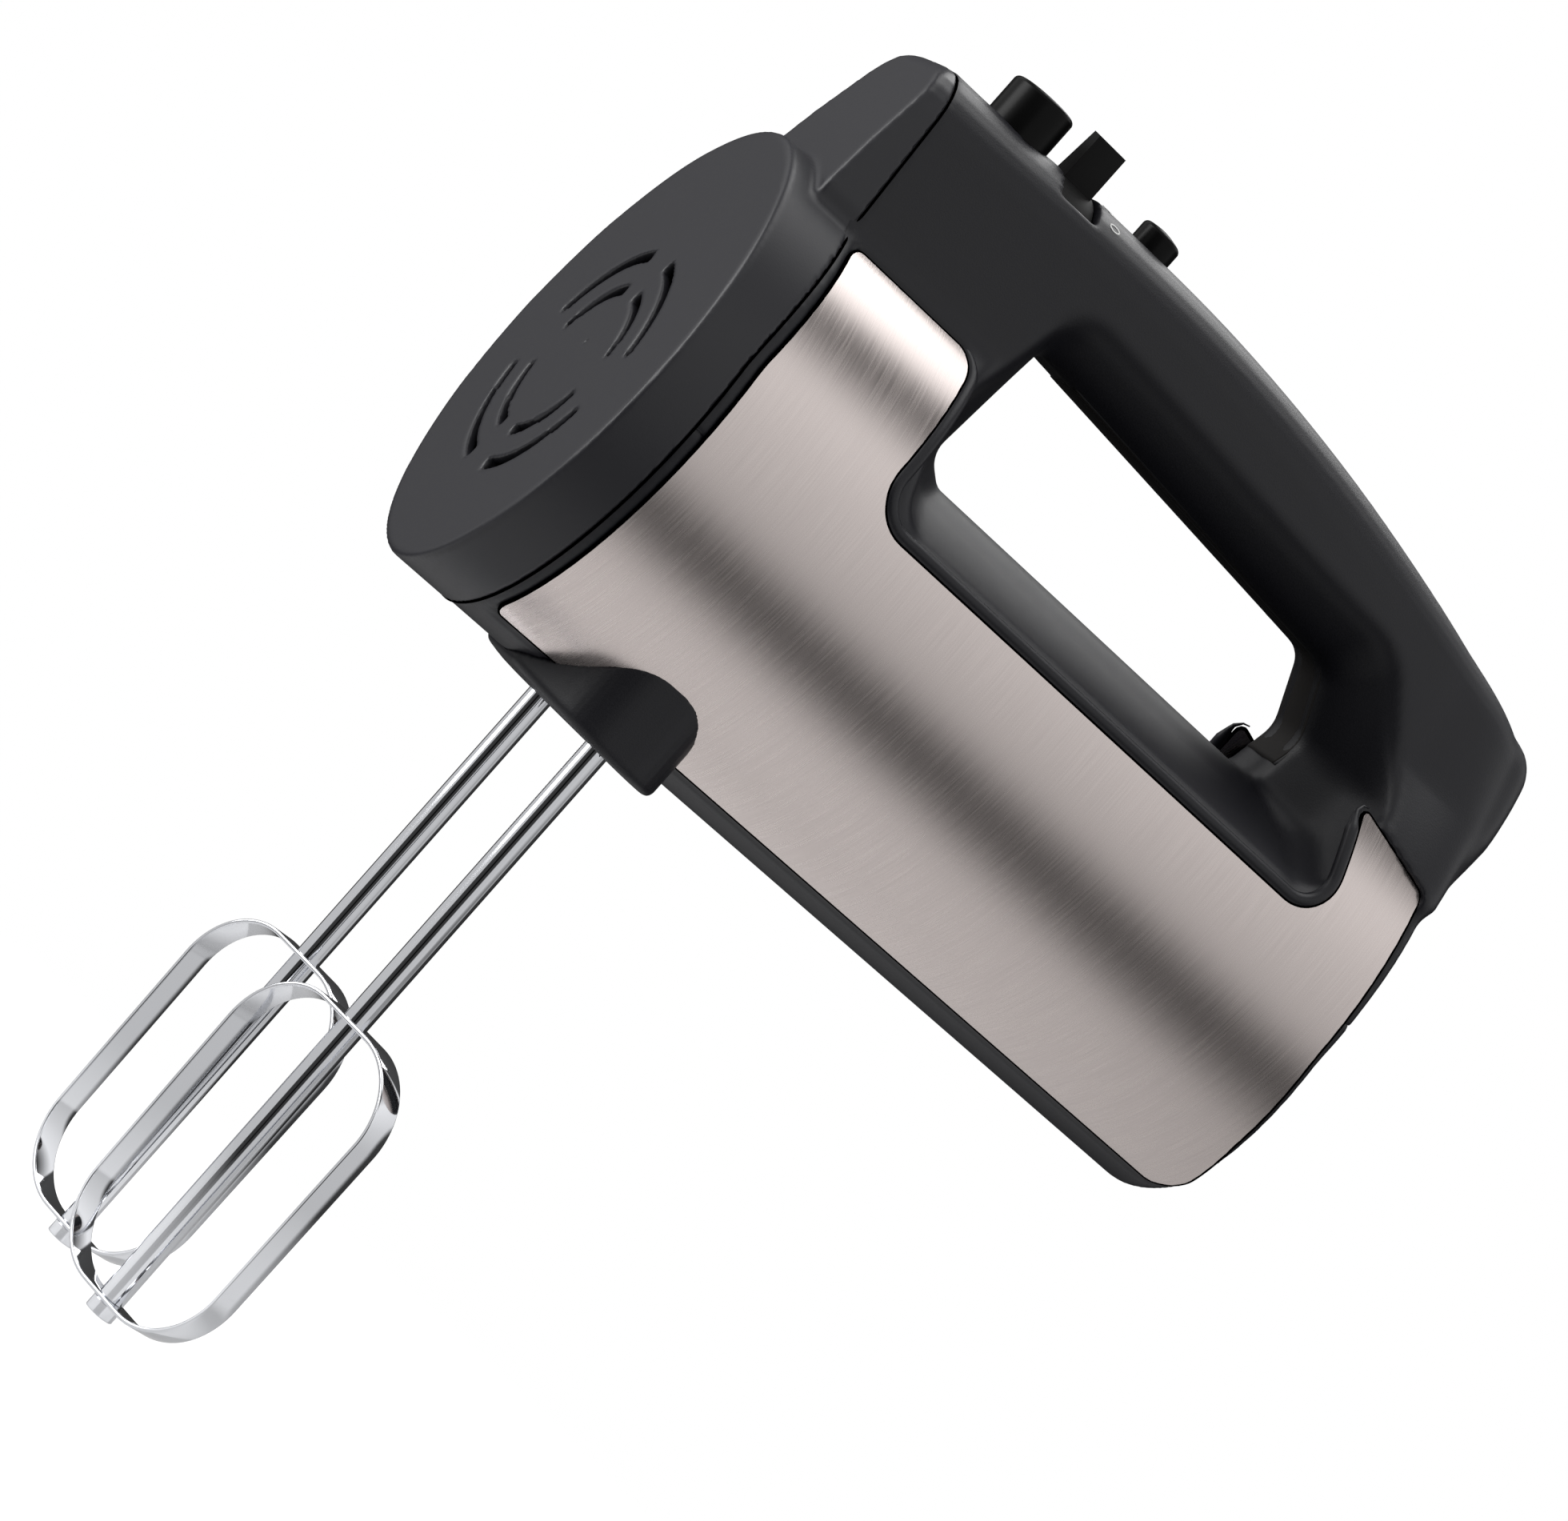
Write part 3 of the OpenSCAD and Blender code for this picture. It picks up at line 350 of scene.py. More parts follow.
@dataclass(frozen=True)
class Space:
    """A grid of places over half of the mixer, from its middle plane out.

    Attributes:
        low: Lowest corner, with y at 0, in mm.
        high: Highest corner.
        step: Spacing.
    """

    low: tuple[float, float, float]
    high: tuple[float, float, float]
    step: float

    def axes(self) -> list[Array]:
        """The places along each axis."""
        return [a + self.step * np.arange(int((b - a) / self.step) + 1) for a, b in zip(self.low, self.high)]

    def xyz(self) -> tuple[Array, Array, Array]:
        """The axes, each shaped to spread over the grid."""
        x, y, z = self.axes()
        return x[:, None, None], y[None, :, None], z[None, None, :]

    def across(self, ring: Array) -> Array:
        """Distance to an (x, z) outline that is the same for every y."""
        x, _, z = self.axes()
        return signed_distance(pairs(x, z), ring).reshape(len(x), 1, len(z))

    def along(self, ring: Array) -> Array:
        """Distance to a (y, z) outline that is the same for every x."""
        _, y, z = self.axes()
        return signed_distance(pairs(y, z), ring).reshape(1, len(y), len(z))

    def sampled(self, values: Array, at: Array) -> Array:
        """A field's values at points (..., 3) in mm, straight between those of the grid."""
        most = np.array(values.shape) - 1
        place = np.clip((at - np.array(self.low)) / self.step, 0, most)
        base = np.minimum(place.astype(int), most - 1)
        total = np.zeros(at.shape[:-1])
        for corner in np.ndindex(2, 2, 2):
            i, j, k = np.moveaxis(base + corner, -1, 0)
            total += np.prod(np.where(corner, place - base, base + 1 - place), -1) * values[i, j, k]
        return total

    def surface(self, values: Array, name: str, far: Array | None = None) -> Piece:
        """The skin where a field is zero, mirrored to both sides, with its faces outwards.

        Args:
            values: The field over this half.
            name: The piece's name.
            far: The field over the far half, if it differs.
        Returns:
            The piece.
        """
        whole = np.concatenate([values[:, :0:-1], values if far is None else far], 1).astype(np.float32)
        grid = openvdb.FloatGrid(float(whole.max()))
        grid.copyFromArray(np.ascontiguousarray(whole))
        points, quads = grid.convertToQuads(isovalue=0.0)
        low = np.array([self.low[0], -self.step * (values.shape[1] - 1), self.low[2]])
        points = points.astype(float) * self.step + low
        a, b, c = (points[quads[:, i]] for i in (0, 1, 2))
        if (np.cross(b - a, c - a) * a).sum() < 0:
            quads = quads[:, ::-1]
        return piece(name, points, quads.tolist())


# ---- meshes


def piece(name: str, points: Array, faces: list[list[int]]) -> Piece:
    """A smooth mesh object from points in mm."""
    mesh = bpy.data.meshes.new(name)
    mesh.from_pydata((points * MM).tolist(), [], faces)
    mesh.validate()
    mesh.shade_smooth()
    made = bpy.data.objects.new(name, mesh)
    bpy.context.scene.collection.objects.link(made)
    return made


def skin(name: str, rings: Array, closed: bool) -> Piece:
    """A tube over rings of points (m, n, 3): neighbours joined by quads, ends by a fan or to each other.

    Args:
        name: The piece's name.
        rings: The rings, in mm.
        closed: Whether the last ring joins the first.
    Returns:
        The piece, with its faces outwards.
    """
    m, n, _ = rings.shape
    i, j = np.meshgrid(np.arange(m if closed else m - 1), np.arange(n), indexing="ij")
    a, b = i * n + j, i * n + (j + 1) % n
    c, d = (i + 1) % m * n + (j + 1) % n, (i + 1) % m * n + j
    faces = np.stack([a, b, c, d], -1).reshape(-1, 4).tolist()
    points = rings.reshape(-1, 3)
    if not closed:
        points = np.vstack([points, rings[0].mean(0), rings[-1].mean(0)])
        k, after, last = np.arange(n), (np.arange(n) + 1) % n, (m - 1) * n
        faces += np.stack([after, k, np.full(n, m * n)], -1).tolist()
        faces += np.stack([last + k, last + after, np.full(n, m * n + 1)], -1).tolist()
    made = piece(name, points, faces)
    mesh = bmesh.new()
    mesh.from_mesh(made.data)
    bmesh.ops.recalc_face_normals(mesh, faces=mesh.faces)
    mesh.to_mesh(made.data)
    mesh.free()
    return made


def sweep(name: str, path: Array, normal: Array, profile: Array, closed: bool = False) -> Piece:
    """A profile carried along a path: path + u (tangent x normal) + v normal at each step.

    Args:
        name: The piece's name.
        path: Places along the path (m, 3).
        normal: The profile's upward direction there (m, 3).
        profile: The profile's (u, v) points, or one such set a step.
        closed: Whether the path is a loop.
    Returns:
        The piece.
    """
    if closed:
        tangent = unit(np.roll(path, -1, 0) - np.roll(path, 1, 0))
    else:
        tangent = unit(np.gradient(path, axis=0))
    side = unit(np.cross(tangent, normal))
    up = np.cross(side, tangent)
    profile = np.broadcast_to(profile, (len(path), *profile.shape[-2:]))
    rings = path[:, None] + profile[..., :1] * side[:, None] + profile[..., 1:] * up[:, None]
    return skin(name, rings, closed)


def lathe(name: str, profile: Array, centre: tuple[float, float, float], n: int) -> Piece:
    """A profile of (r, z) points turned about an upright axis in n steps: (r cos t, r sin t, z)."""
    t = np.linspace(0, 2 * np.pi, n, endpoint=False)
    rings = np.stack([profile[:, :1] * np.cos(t), profile[:, :1] * np.sin(t),
                      np.repeat(profile[:, 1:], n, 1)], -1)
    return skin(name, rings + np.array(centre), False)


def soft_edges(made: Piece, width: float, angle: float) -> None:
    """Rounds the edges sharper than an angle in degrees by a width in mm."""
    bevel = made.modifiers.new("soft edges", "BEVEL")
    bevel.width = width * MM
    bevel.segments = 3
    bevel.limit_method = "ANGLE"
    bevel.angle_limit = math.radians(angle)
    bevel.harden_normals = True


def copied(node: str, name: str, edge: float, angle: float = 32.0) -> Piece:
    """A copy of a CAD node with its triangles merged, smooth where it curves, its edges rounded.

    Args:
        node: The node.
        name: The piece's name.
        edge: Width of the rounding in mm; 0 for none.
        angle: Edges sharper than this are rounded, in degrees.
    Returns:
        The piece, in place of the node.
    """
    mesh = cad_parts[node].data.copy()
    mesh.name = name
    work = bmesh.new()
    work.from_mesh(mesh)
    bmesh.ops.remove_doubles(work, verts=work.verts, dist=1e-6)
    bmesh.ops.dissolve_limit(work, angle_limit=math.radians(0.3), verts=work.verts, edges=work.edges)
    work.to_mesh(mesh)
    work.free()
    mesh.shade_smooth()
    mesh.set_sharp_from_angle(angle=math.radians(angle))
    made = bpy.data.objects.new(name, mesh)
    bpy.context.scene.collection.objects.link(made)
    if edge:
        soft_edges(made, edge, angle)
    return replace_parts(made, node)


# ---- casing


@dataclass
class Casing:
    """The moulded casing: body, handle, nose cap, lips, strip and collar.

    Outlines are rows of (x, z, radius) corners; lengths are in mm.

    Attributes:
        half_w, half_h, mid_z: The body oval's half-axes and middle height.
        skin: How far the moulding lies inside the oval, so that the steel stands proud.
        wall: Wall thickness.
        seam_x, nose_x: Where the cap meets the body and the handle.
        fold, lip: Fillet between body and handle; rounding of the finger opening's edge.
        button, turbo: Place along X and radius of each button's hole.
        lever_x, crown_z: The lever's place along X and the height of the crown's axis.
        socket: Place along Y and radius of the beater sockets.
        cord: Height, radius and first place along X of the cord's hole.
        screws: Places of the screw columns along X, and along Y.
        column, recess: Radius of a column; radius and height of its recess.
        slot: Limits of the lever's slot on the near and far side, in degrees from upright.
        tail: A point (x, z) of the plane behind the handle, its normal's run, fall and length.
        outline, steel: The body and a steel side, from the side.
        stations: Place along X of each handle section, then the values that `section` reads.
        opening: Each outline of the finger opening, after its distance from the middle plane.
        disc, nose: The two parts of the cap, from the side.
        collar: The collar's plan, as (x, y, radius).
        collar_front: Height and place of its raised front, and how far back it falls to nothing.
        vents: Half-axes of each ring of slots, then a slot's width at its low and its high end.
        vent_z, vent_arc: Middle height of the rings; first and last angle of a slot in degrees.
        bead, painted_edge_shade: Half the width and height of the lip and of the black line of painted shade
            round a steel side.
        grids: Grids of the shell, the cap and the collar.
    """

    half_w: float = 44.3
    half_h: float = 58.5
    mid_z: float = 62.0
    skin: float = 0.4
    wall: float = 2.8
    seam_x: float = -39.0
    nose_x: float = -33.4
    fold: float = 5.0
    lip: float = 3.5
    button: tuple[float, float] = (-12.3, 8.2)
    turbo: tuple[float, float] = (28.0, 5.4)
    lever_x: float = 4.0
    crown_z: float = 139.6
    socket: tuple[float, float] = (21.75, 6.1)
    cord: tuple[float, float, float] = (112.0, 6.0, 162.0)
    screws: tuple[tuple[float, float], float] = ((-32.0, 150.0), 20.0)
    column: float = 4.6
    recess: tuple[float, float] = (3.3, 22.0)
    slot: tuple[float, float] = (52.5, 92.5)
    tail: tuple[float, ...] = (166.5, 93.0, 25.0, 10.5, 27.1)
    outline: Corners = (
        (-70, -5, 0.1), (170, -5, 0.1), (172, 11.8, 9), (169.2, 27.3, 25), (165, 52.1, 60),
        (162, 125.5, 0.1), (-70, 125.5, 0.1))
    steel: Corners = (
        (-35.7, 8.8, 2), (171, 8.8, 5), (166.2, 27.3, 25), (162, 52.1, 60), (158.9, 93.6, 2.5),
        (136.4, 99.1, 1), (142.9, 72.6, 9.4), (-0.3, 72.6, 10), (4.7, 112, 4), (-31, 112, 3),
        (-35.7, 80.5, 30))
    stations: tuple[tuple[float, ...], ...] = (
        (-60, 153.8, 20.7, 70, 20.7, 118, 15, 13), (-26, 153.8, 20.7, 70, 20.7, 118, 15, 13),
        (14, 155.4, 20.7, 70, 20.7, 118, 15, 13), (55, 155.1, 20.7, 70, 20.7, 118, 15, 13),
        (88, 152.2, 20.7, 70, 20.7, 118, 15, 13), (122, 146.6, 30, 82.5, 22.7, 116.5, 15, 13),
        (142, 142.1, 37, 91.5, 26, 112.5, 15, 13), (165, 135.6, 36.5, 92.5, 27, 112, 14, 12),
        (174, 131, 27, 95, 22, 112, 12, 9), (178, 124, 16, 100, 14, 112, 8, 5))
    opening: tuple[tuple[float, Corners], ...] = (
        *((y, [(24, 88.5, 4), (126, 88.5, 3), (128.8, 101.9, 8), (121, 117.7, 7), (20.5, 124.5, 4),
               (18, 93, 5)]) for y in (0, 8)),
        (20, [(16, 83.8, 8), (136, 83.8, 8), (139, 101, 10), (126, 130, 12), (17, 138, 10),
              (9.5, 95, 20)]),
        (46.3, [(8, 74.8, 8), (138, 74.8, 8), (141, 100, 4), (152, 158, 10), (-4, 168, 10),
                (3.8, 90, 20)]))
    disc: Corners = (
        (-54.6, -5, 0.1), (-20, -5, 0.1), (-20, 125.5, 0.1), (-51, 125.5, 0.1))
    nose: Corners = (
        (-44, 100.5, 0.1), (-10, 100.5, 0.1), (-10, 153.8, 0.1), (-38, 153.2, 5), (-42.2, 130.6, 40),
        (-44, 118, 0.1))
    collar: Corners = (
        (16, -31.6, 13), (16, 31.6, 13), (-9, 31.6, 14), (-23, 11, 9), (-23, -11, 9), (-9, -31.6, 14))
    collar_front: tuple[float, float, float] = (4.0, -30.0, 24.0)
    vents: tuple[tuple[float, ...], ...] = ((24.5, 28.0, 1.8, 3.0), (16.0, 19.0, 1.6, 2.7))
    vent_z: float = 57.0
    vent_arc: tuple[float, float] = (15.0, 77.0)
    bead: tuple[float, float] = (1.5, 1.4)
    painted_edge_shade: tuple[float, float] = (0.42, 0.55)
    grids: tuple[Space, Space, Space] = (Space((-44.6, 0.0, -1.6), (182.0, 48.0, 160.0), 0.9),
                                         Space((-57.0, 0.0, 0.0), (-30.0, 46.0, 157.0), 0.62),
                                         Space((-27.0, 0.0, -2.0), (20.0, 36.0, 30.0), 0.5))

    def oval(self, space: Space, inset: float) -> Array:
        """Distance to the body's oval moved in by an inset."""
        _, y, z = space.xyz()
        return oval_distance(y, z - self.mid_z, self.half_w - inset, self.half_h - inset)

    def section(self, sizes: Array) -> Array:
        """One (y, z) section of the handle from its sizes, mirrored, as rounded points."""
        top, foot_w, foot_z, side_w, side_z, top_w, top_r = sizes
        return rounded(np.array([(-foot_w, foot_z, 0.5), (foot_w, foot_z, 0.5), (side_w, side_z, 8),
                                 (top_w, top, top_r), (-top_w, top, top_r), (-side_w, side_z, 8)]), 6)

    def grip(self, space: Space) -> Array:
        """Distance to the handle, slice by slice along X, its ends rounded off."""
        x, y, z = space.axes()
        table = np.array(self.stations)
        first, last = table[[0, -1], 0]
        sizes = between(np.clip(x, first, last), table[:, 0], table[:, 1:])
        flat = pairs(y, z)
        slices = np.stack([signed_distance(flat, self.section(s)).reshape(len(y), len(z)) for s in sizes])
        x, _, z = space.xyz()
        tail_x, tail_z, run, fall, length = self.tail
        behind = ((x - tail_x) * run - (z - tail_z) * fall) / length
        return common(common(slices, x - last, 5), behind, 8)

    def hole(self, space: Space) -> Array:
        """Distance to the finger opening, slice by slice across Y."""
        x, y, z = space.axes()
        places = np.array([y0 for y0, _ in self.opening], float)
        shapes = between(y, places, np.array([c for _, c in self.opening], float))
        flat = pairs(x, z)
        return np.stack([signed_distance(flat, rounded(s)).reshape(len(x), len(z)) for s in shapes], 1)

    def shell(self, space: Space) -> Array:
        """The hollow body and handle with every hole: outer field, less itself moved in by the wall."""
        x, y, z = space.xyz()
        side = space.across(rounded(np.array(self.outline)))
        body = common(self.oval(space, self.skin), side, 4)
        outer = common(joined(body, self.grip(space), self.fold), -self.hole(space), self.lip)
        hollow = np.maximum(outer, -(outer + self.wall))
        places, beside = self.screws
        for at in places:
            far = np.hypot(x - at, y - beside)
            hollow = np.minimum(hollow, np.maximum(far - self.column, outer))
            hollow = np.maximum(hollow, -np.maximum(far - self.recess[0], z - self.recess[1]))
        cord_z, cord_r, cord_x = self.cord
        holes = [np.maximum(np.hypot(x, y - self.socket[0]) - self.socket[1], z - 24),
                 np.maximum(np.hypot(x - self.button[0], y) - self.button[1], 135.6 - z),
                 np.maximum(np.hypot(x - self.turbo[0], y) - self.turbo[1], 143.6 - z),
                 np.maximum(np.hypot(y, z - cord_z) - cord_r, cord_x - x) + 0 * z]
        for cut in holes:
            hollow = np.maximum(hollow, -cut)
        steel = np.maximum(space.across(rounded(np.array(self.steel, float))) - 0.25, -self.oval(space, 0.9))
        hollow = common(hollow, -steel, 1.2)
        seam = self.seam(z) - x
        return np.maximum(hollow, np.minimum(seam + 0.1, np.maximum(outer + 0.45, seam - 1.5)))

    def seam(self, z: Array) -> Array:
        """Place of the cap's seam along X: steady on the body, leaning back to the nose's seam above it."""
        return self.seam_x + (self.nose_x - self.seam_x) * np.clip((z - 78) / 34, 0, 1) ** 1.35

    def wedge(self, space: Space, limit: float) -> Array:
        """Distance to the lever's slot: a wedge round the crown's axis up to a limit in degrees."""
        x, y, z = space.xyz()
        z = z - self.crown_z
        side = y * math.cos(math.radians(limit)) - z * math.sin(math.radians(limit))
        return np.maximum(np.maximum(np.abs(x - self.lever_x) - 5.3, side), 12.3 - np.hypot(y, z))

    def build_shell(self) -> None:
        """Upper housing and keel."""
        space = self.grids[0]
        shell = self.shell(space)
        z = space.xyz()[2]
        upper = np.maximum(shell, self.mid_z + 0.05 - z)
        near, far = (np.maximum(upper, -self.wedge(space, limit)) for limit in self.slot)
        upper = space.surface(near, "upper_housing_moulding", far)
        MATT.dress(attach(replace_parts(upper, "upper_housing"), Body.CASING.value))
        high = z - self.mid_z
        lower = np.minimum(np.maximum(shell, high + 0.05), np.maximum(shell + 0.3, high - 1.0))
        lower = space.surface(lower, "motor_housing_moulding")
        MATT.dress(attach(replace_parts(lower, "motor_housing"), Body.CASING.value))
        LOG.info("shell: %d and %d quads", len(upper.data.polygons), len(lower.data.polygons))

    def build_cap(self) -> None:
        """Front cap: an oval disc joined to the nose, hollow, with two rings of slots."""
        space = self.grids[1]
        x, y, z = space.xyz()
        disc = common(self.oval(space, 0.1), space.across(rounded(np.array(self.disc))), 1.4)
        section = self.section(np.array(self.stations[0][1:]))
        nose = common(space.along(section), space.across(rounded(np.array(self.nose))), 1.4)
        outer = joined(disc, nose, 1.6)
        hollow = np.maximum(outer, -(outer + 2.5))
        limit = x - self.seam(z) + 0.16
        hollow = np.maximum(hollow, limit)
        low, top = self.vent_arc
        for a, b, narrow, broad in self.vents:
            high = np.abs(z - self.vent_z)
            t = np.degrees(np.arctan2(high / b, np.maximum(y, 1e-6) / a))
            far = np.abs(oval_distance(y, high, a, b))
            wide = (narrow + (broad - narrow) * np.clip((t - low) / (top - low), 0, 1)) / 2
            ends = np.maximum(low - t, t - top) * np.radians(1) * (a + b) / 2
            hollow = np.maximum(hollow, -np.maximum(np.maximum(far - wide, ends), x + 44))
        self.build_seam_shade(space, outer)
        cap = space.surface(hollow, "front_cap_moulding")
        SATIN.dress(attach(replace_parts(cap, "front_cap"), Body.CASING.value))
        LOG.info("cap: %d quads", len(cap.data.polygons))

    def build_seam_shade(self, space: Space, outer: Array) -> None:
        """Painted shade of the cap's seam gap: a thin black cord laid on the outer form, found by rays from
        the axis.

        Args:
            space: The cap's grid.
            outer: The cap's outer field over it.
        """
        step, axis_z, thick, sunk = 0.4, 70.0, 0.3, 0.2
        a = np.linspace(0, np.pi, 1600)
        r = np.arange(8.0, 100.0, step)
        y, z = np.outer(np.sin(a), r), axis_z + np.outer(np.cos(a), r)
        f = space.sampled(outer, np.stack([self.seam(z), y, z], -1))
        row, last = np.arange(len(a)), len(r) - 1 - np.argmax(f[:, ::-1] < 0, axis=1)
        r = r[last] + step * f[row, last] / (f[row, last] - f[row, last + 1])
        y, z = np.sin(a) * r, axis_z + np.cos(a) * r
        ring = np.stack([self.seam(z), y, z], -1)
        path = resampled(np.vstack([ring, (ring * (1, -1, 1))[-2:0:-1], ring[:1]]), 601)[:-1]
        normal = unit(np.cross((1.0, 0.0, 0.0), np.roll(path, -1, 0) - np.roll(path, 1, 0)))
        # A black cord stands in for the shade inside the seam's gap: painted shade.
        cord = sweep("cap_seam_painted_shade", path - sunk * normal, normal, ellipse(thick, thick, 10), True)
        PAINTED_GAP_SHADE.dress(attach(cord, Body.CASING.value))

    def build_collar(self) -> None:
        """Collar round the beater sockets: its plan carried up into the body, its front rising."""
        space = self.grids[2]
        x, y, z = space.xyz()
        plan = rounded(np.array(self.collar, float))
        side = signed_distance(pairs(*space.axes()[:2]), plan).reshape(x.size, y.size, 1)
        rise, front, run = self.collar_front
        foot = common(0.05 - z + 0 * x, (rise - (x - front) * rise / run - z) * 0.986, 4)
        outer = common(side + 0 * z, foot + 0 * y, 2.2)
        hollow = np.maximum(outer, -self.oval(space, 0.6))
        hollow = np.maximum(hollow, -(np.hypot(x, y - self.socket[0]) - self.socket[1] + 0 * z))
        made = space.surface(hollow, "socket_collar_moulding")
        MATT.dress(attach(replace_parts(made, "socket_collar"), Body.CASING.value))

    def on_oval(self, flat: Array, proud: float) -> tuple[Array, Array]:
        """Lifts (x, z) points onto the near side of the oval and gives the outward normals there."""
        z = flat[:, 1] - self.mid_z
        y = -self.half_w * np.sqrt(np.maximum(1 - (z / self.half_h) ** 2, 0))
        normal = unit(np.column_stack([0 * z, y / self.half_w ** 2, z / self.half_h ** 2]))
        return np.column_stack([flat[:, 0], y, flat[:, 1]]) + proud * normal, normal

    def build_lips(self) -> None:
        """The raised lip between each steel side and the finger opening: a half-round bead on the oval."""
        edge = rounded(np.array(self.steel[4:10], float), 12)
        flat = resampled(np.vstack([edge[13:65], [-6.0, 112.0]]), 241)
        t = np.linspace(0, 1, len(flat))
        swell = np.clip(np.minimum(t * 40, (1 - t) * 18), 0.12, 1)[:, None, None]
        profile = ellipse(*self.bead, 20)
        for sign, name in ((1, "opening_lip_left"), (-1, "opening_lip_right")):
            path, normal = self.on_oval(flat, -0.7)
            inward = unit(np.cross(np.gradient(path, axis=0), normal))
            path = (path + 1.7 * inward) * (1, sign, 1)
            lip = sweep(name, path, normal * (1, sign, 1), profile * swell)
            MATT.dress(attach(lip, Body.CASING.value))

    def build_painted_edge_shades(self) -> None:
        """Painted shade round each steel side: a thin black bar carried round its outline on the oval, where
        its gap would be dark.
        """
        ring = rounded(grown(np.array(self.steel, float), 0.2), 10)
        flat = resampled(np.vstack([ring, ring[:1]]), 721)[:-1]
        profile = ellipse(*self.painted_edge_shade, 10)
        for sign, name in ((1, "panel_painted_edge_shade_left"), (-1, "panel_painted_edge_shade_right")):
            path, normal = self.on_oval(flat, -0.45)
            # A black bar stands in for the shade in the gap round each steel side: painted shade.
            made = sweep(name, path * (1, sign, 1), normal * (1, sign, 1), profile, True)
            PAINTED_GAP_SHADE.dress(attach(made, Body.CASING.value))

    def build_strip(self) -> None:
        """The strip under the handle and down the rear post: a rounded bar along the opening's edge."""
        ring = rounded(np.array(self.opening[0][1], float), 12)
        x, z = resampled(np.vstack([[126.9, 94.5], ring[26:52], [33.0, 123.4]]), 90).T
        run = unit(np.gradient(np.stack([x, z], -1), axis=0))
        out = np.stack([-run[:, 1], 0 * x, run[:, 0]], -1)
        place = np.stack([x, 0 * x, z], -1)
        kinds = ("handle_strip", 7.3, 0.32, STRIP), ("handle_strip_seam", 7.9, 0.08, INNER)
        for name, half, proud, finish in kinds:
            low, high = [(-half, -1.6, 0.3), (half, -1.6, 0.3)], [(half, proud, 0.5), (-half, proud, 0.5)]
            bar = rounded(np.array(low + high), 4)
            made = sweep(name, place, out, bar)
            if finish is STRIP:
                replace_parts(made, "handle_cover")
            finish.dress(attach(made, Body.CASING.value))

    def build(self) -> None:
        """Makes every moulded piece."""
        self.build_shell()
        self.build_cap()
        self.build_lips()
        self.build_painted_edge_shades()
        self.build_strip()
        self.build_collar()


@dataclass
class SteelSides:
    """The two brushed steel panels.

    Attributes:
        oval: Half the width, half the height and the middle height of the oval they are bent to.
    """

    oval: tuple[float, float, float]

    def smoothed(self, mesh: bpy.types.Mesh) -> None:
        """Shades the sheet by the oval's own normal, (0, y / a^2, height / b^2); its rims stay flat."""
        co, flat = np.empty(len(mesh.vertices) * 3), np.empty(len(mesh.polygons) * 3)
        mesh.vertices.foreach_get("co", co)
        mesh.polygons.foreach_get("normal", flat)
        corner, size = np.empty(len(mesh.loops), np.int32), np.empty(len(mesh.polygons), np.int32)
        mesh.loops.foreach_get("vertex_index", corner)
        mesh.polygons.foreach_get("loop_total", size)
        flat = np.repeat(flat.reshape(-1, 3), size, axis=0)
        at = co.reshape(-1, 3)[corner] / MM
        a, b, middle = self.oval
        bent = unit(np.stack([0 * at[:, 0], at[:, 1] / a ** 2, (at[:, 2] - middle) / b ** 2], -1))
        facing = (flat * bent).sum(-1, keepdims=True)
        mesh.normals_split_custom_set(np.where(np.abs(facing) > 0.96, bent * np.sign(facing), flat))

    def build(self) -> None:
        """Copies both panels and smooths them."""
        for side in ("left", "right"):
            made = copied(f"steel_panel_{side}", f"brushed_panel_{side}", 0.0)
            self.smoothed(made.data)
            STEEL.dress(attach(made, Body.CASING.value))


@dataclass
class Controls:
    """Eject button, speed lever and turbo button.

    Attributes:
        eject, turbo: Each button's place along X, radius, lowest and highest point.
        edge: Rounding of the buttons' rims.
        slant: Fall of the turbo button's top along X.
    """

    eject: tuple[float, float, float, float] = (-12.3, 7.9, 149.6, 164.0)
    turbo: tuple[float, float, float, float] = (28.0, 5.1, 150.0, 161.0)
    edge: float = 1.1
    slant: float = math.tan(math.radians(5))

    def button(self, name: str, sizes: tuple[float, float, float, float], dome: float,
               slant: float) -> Piece:
        """A turned button with a rounded rim.

        Args:
            name: The piece's name.
            sizes: Place along X, radius, lowest and highest point.
            dome, slant: Rise of the top's middle and its fall along X.
        Returns:
            The button.
        """
        x, r, low, high = sizes
        a = np.linspace(0, np.pi / 2, 9)
        rim = (r - self.edge, high - dome - self.edge) + self.edge * np.stack([np.cos(a), np.sin(a)], -1)
        s = np.linspace(1, 0.02, 10)[1:]
        top = np.stack([(r - self.edge) * s, high - dome * s ** 2], -1)
        base = np.array([[0.3, low], [r - 0.3, low], [r, low + 0.3], [r, low + 4.0]])
        made = lathe(name, np.vstack([base, rim, top]), (x, 0, 0), 72)
        if slant:
            co = np.empty(len(made.data.vertices) * 3)
            made.data.vertices.foreach_get("co", co)
            co = co.reshape(-1, 3)
            share = np.clip((co[:, 2] / MM - low - 4) / (high - low - 5), 0, 1)
            co[:, 2] -= slant * (co[:, 0] - x * MM) * share
            made.data.vertices.foreach_set("co", co.ravel())
        return made

    def build(self) -> None:
        """Makes the controls."""
        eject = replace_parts(self.button("eject_button_cap", self.eject, 0.5, 0.0), "eject_button")
        BUTTON.dress(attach(eject, Body.EJECTOR.value))
        turbo = self.button("turbo_button_cap", self.turbo, 0.6, self.slant)
        BUTTON.dress(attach(turbo, Body.TURBO.value))
        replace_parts(turbo, "turbo_button")
        lever = copied("speed_lever", "speed_lever_tab", 0.4, 40)
        LEVER.dress(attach(lever, Body.SELECTOR.value))


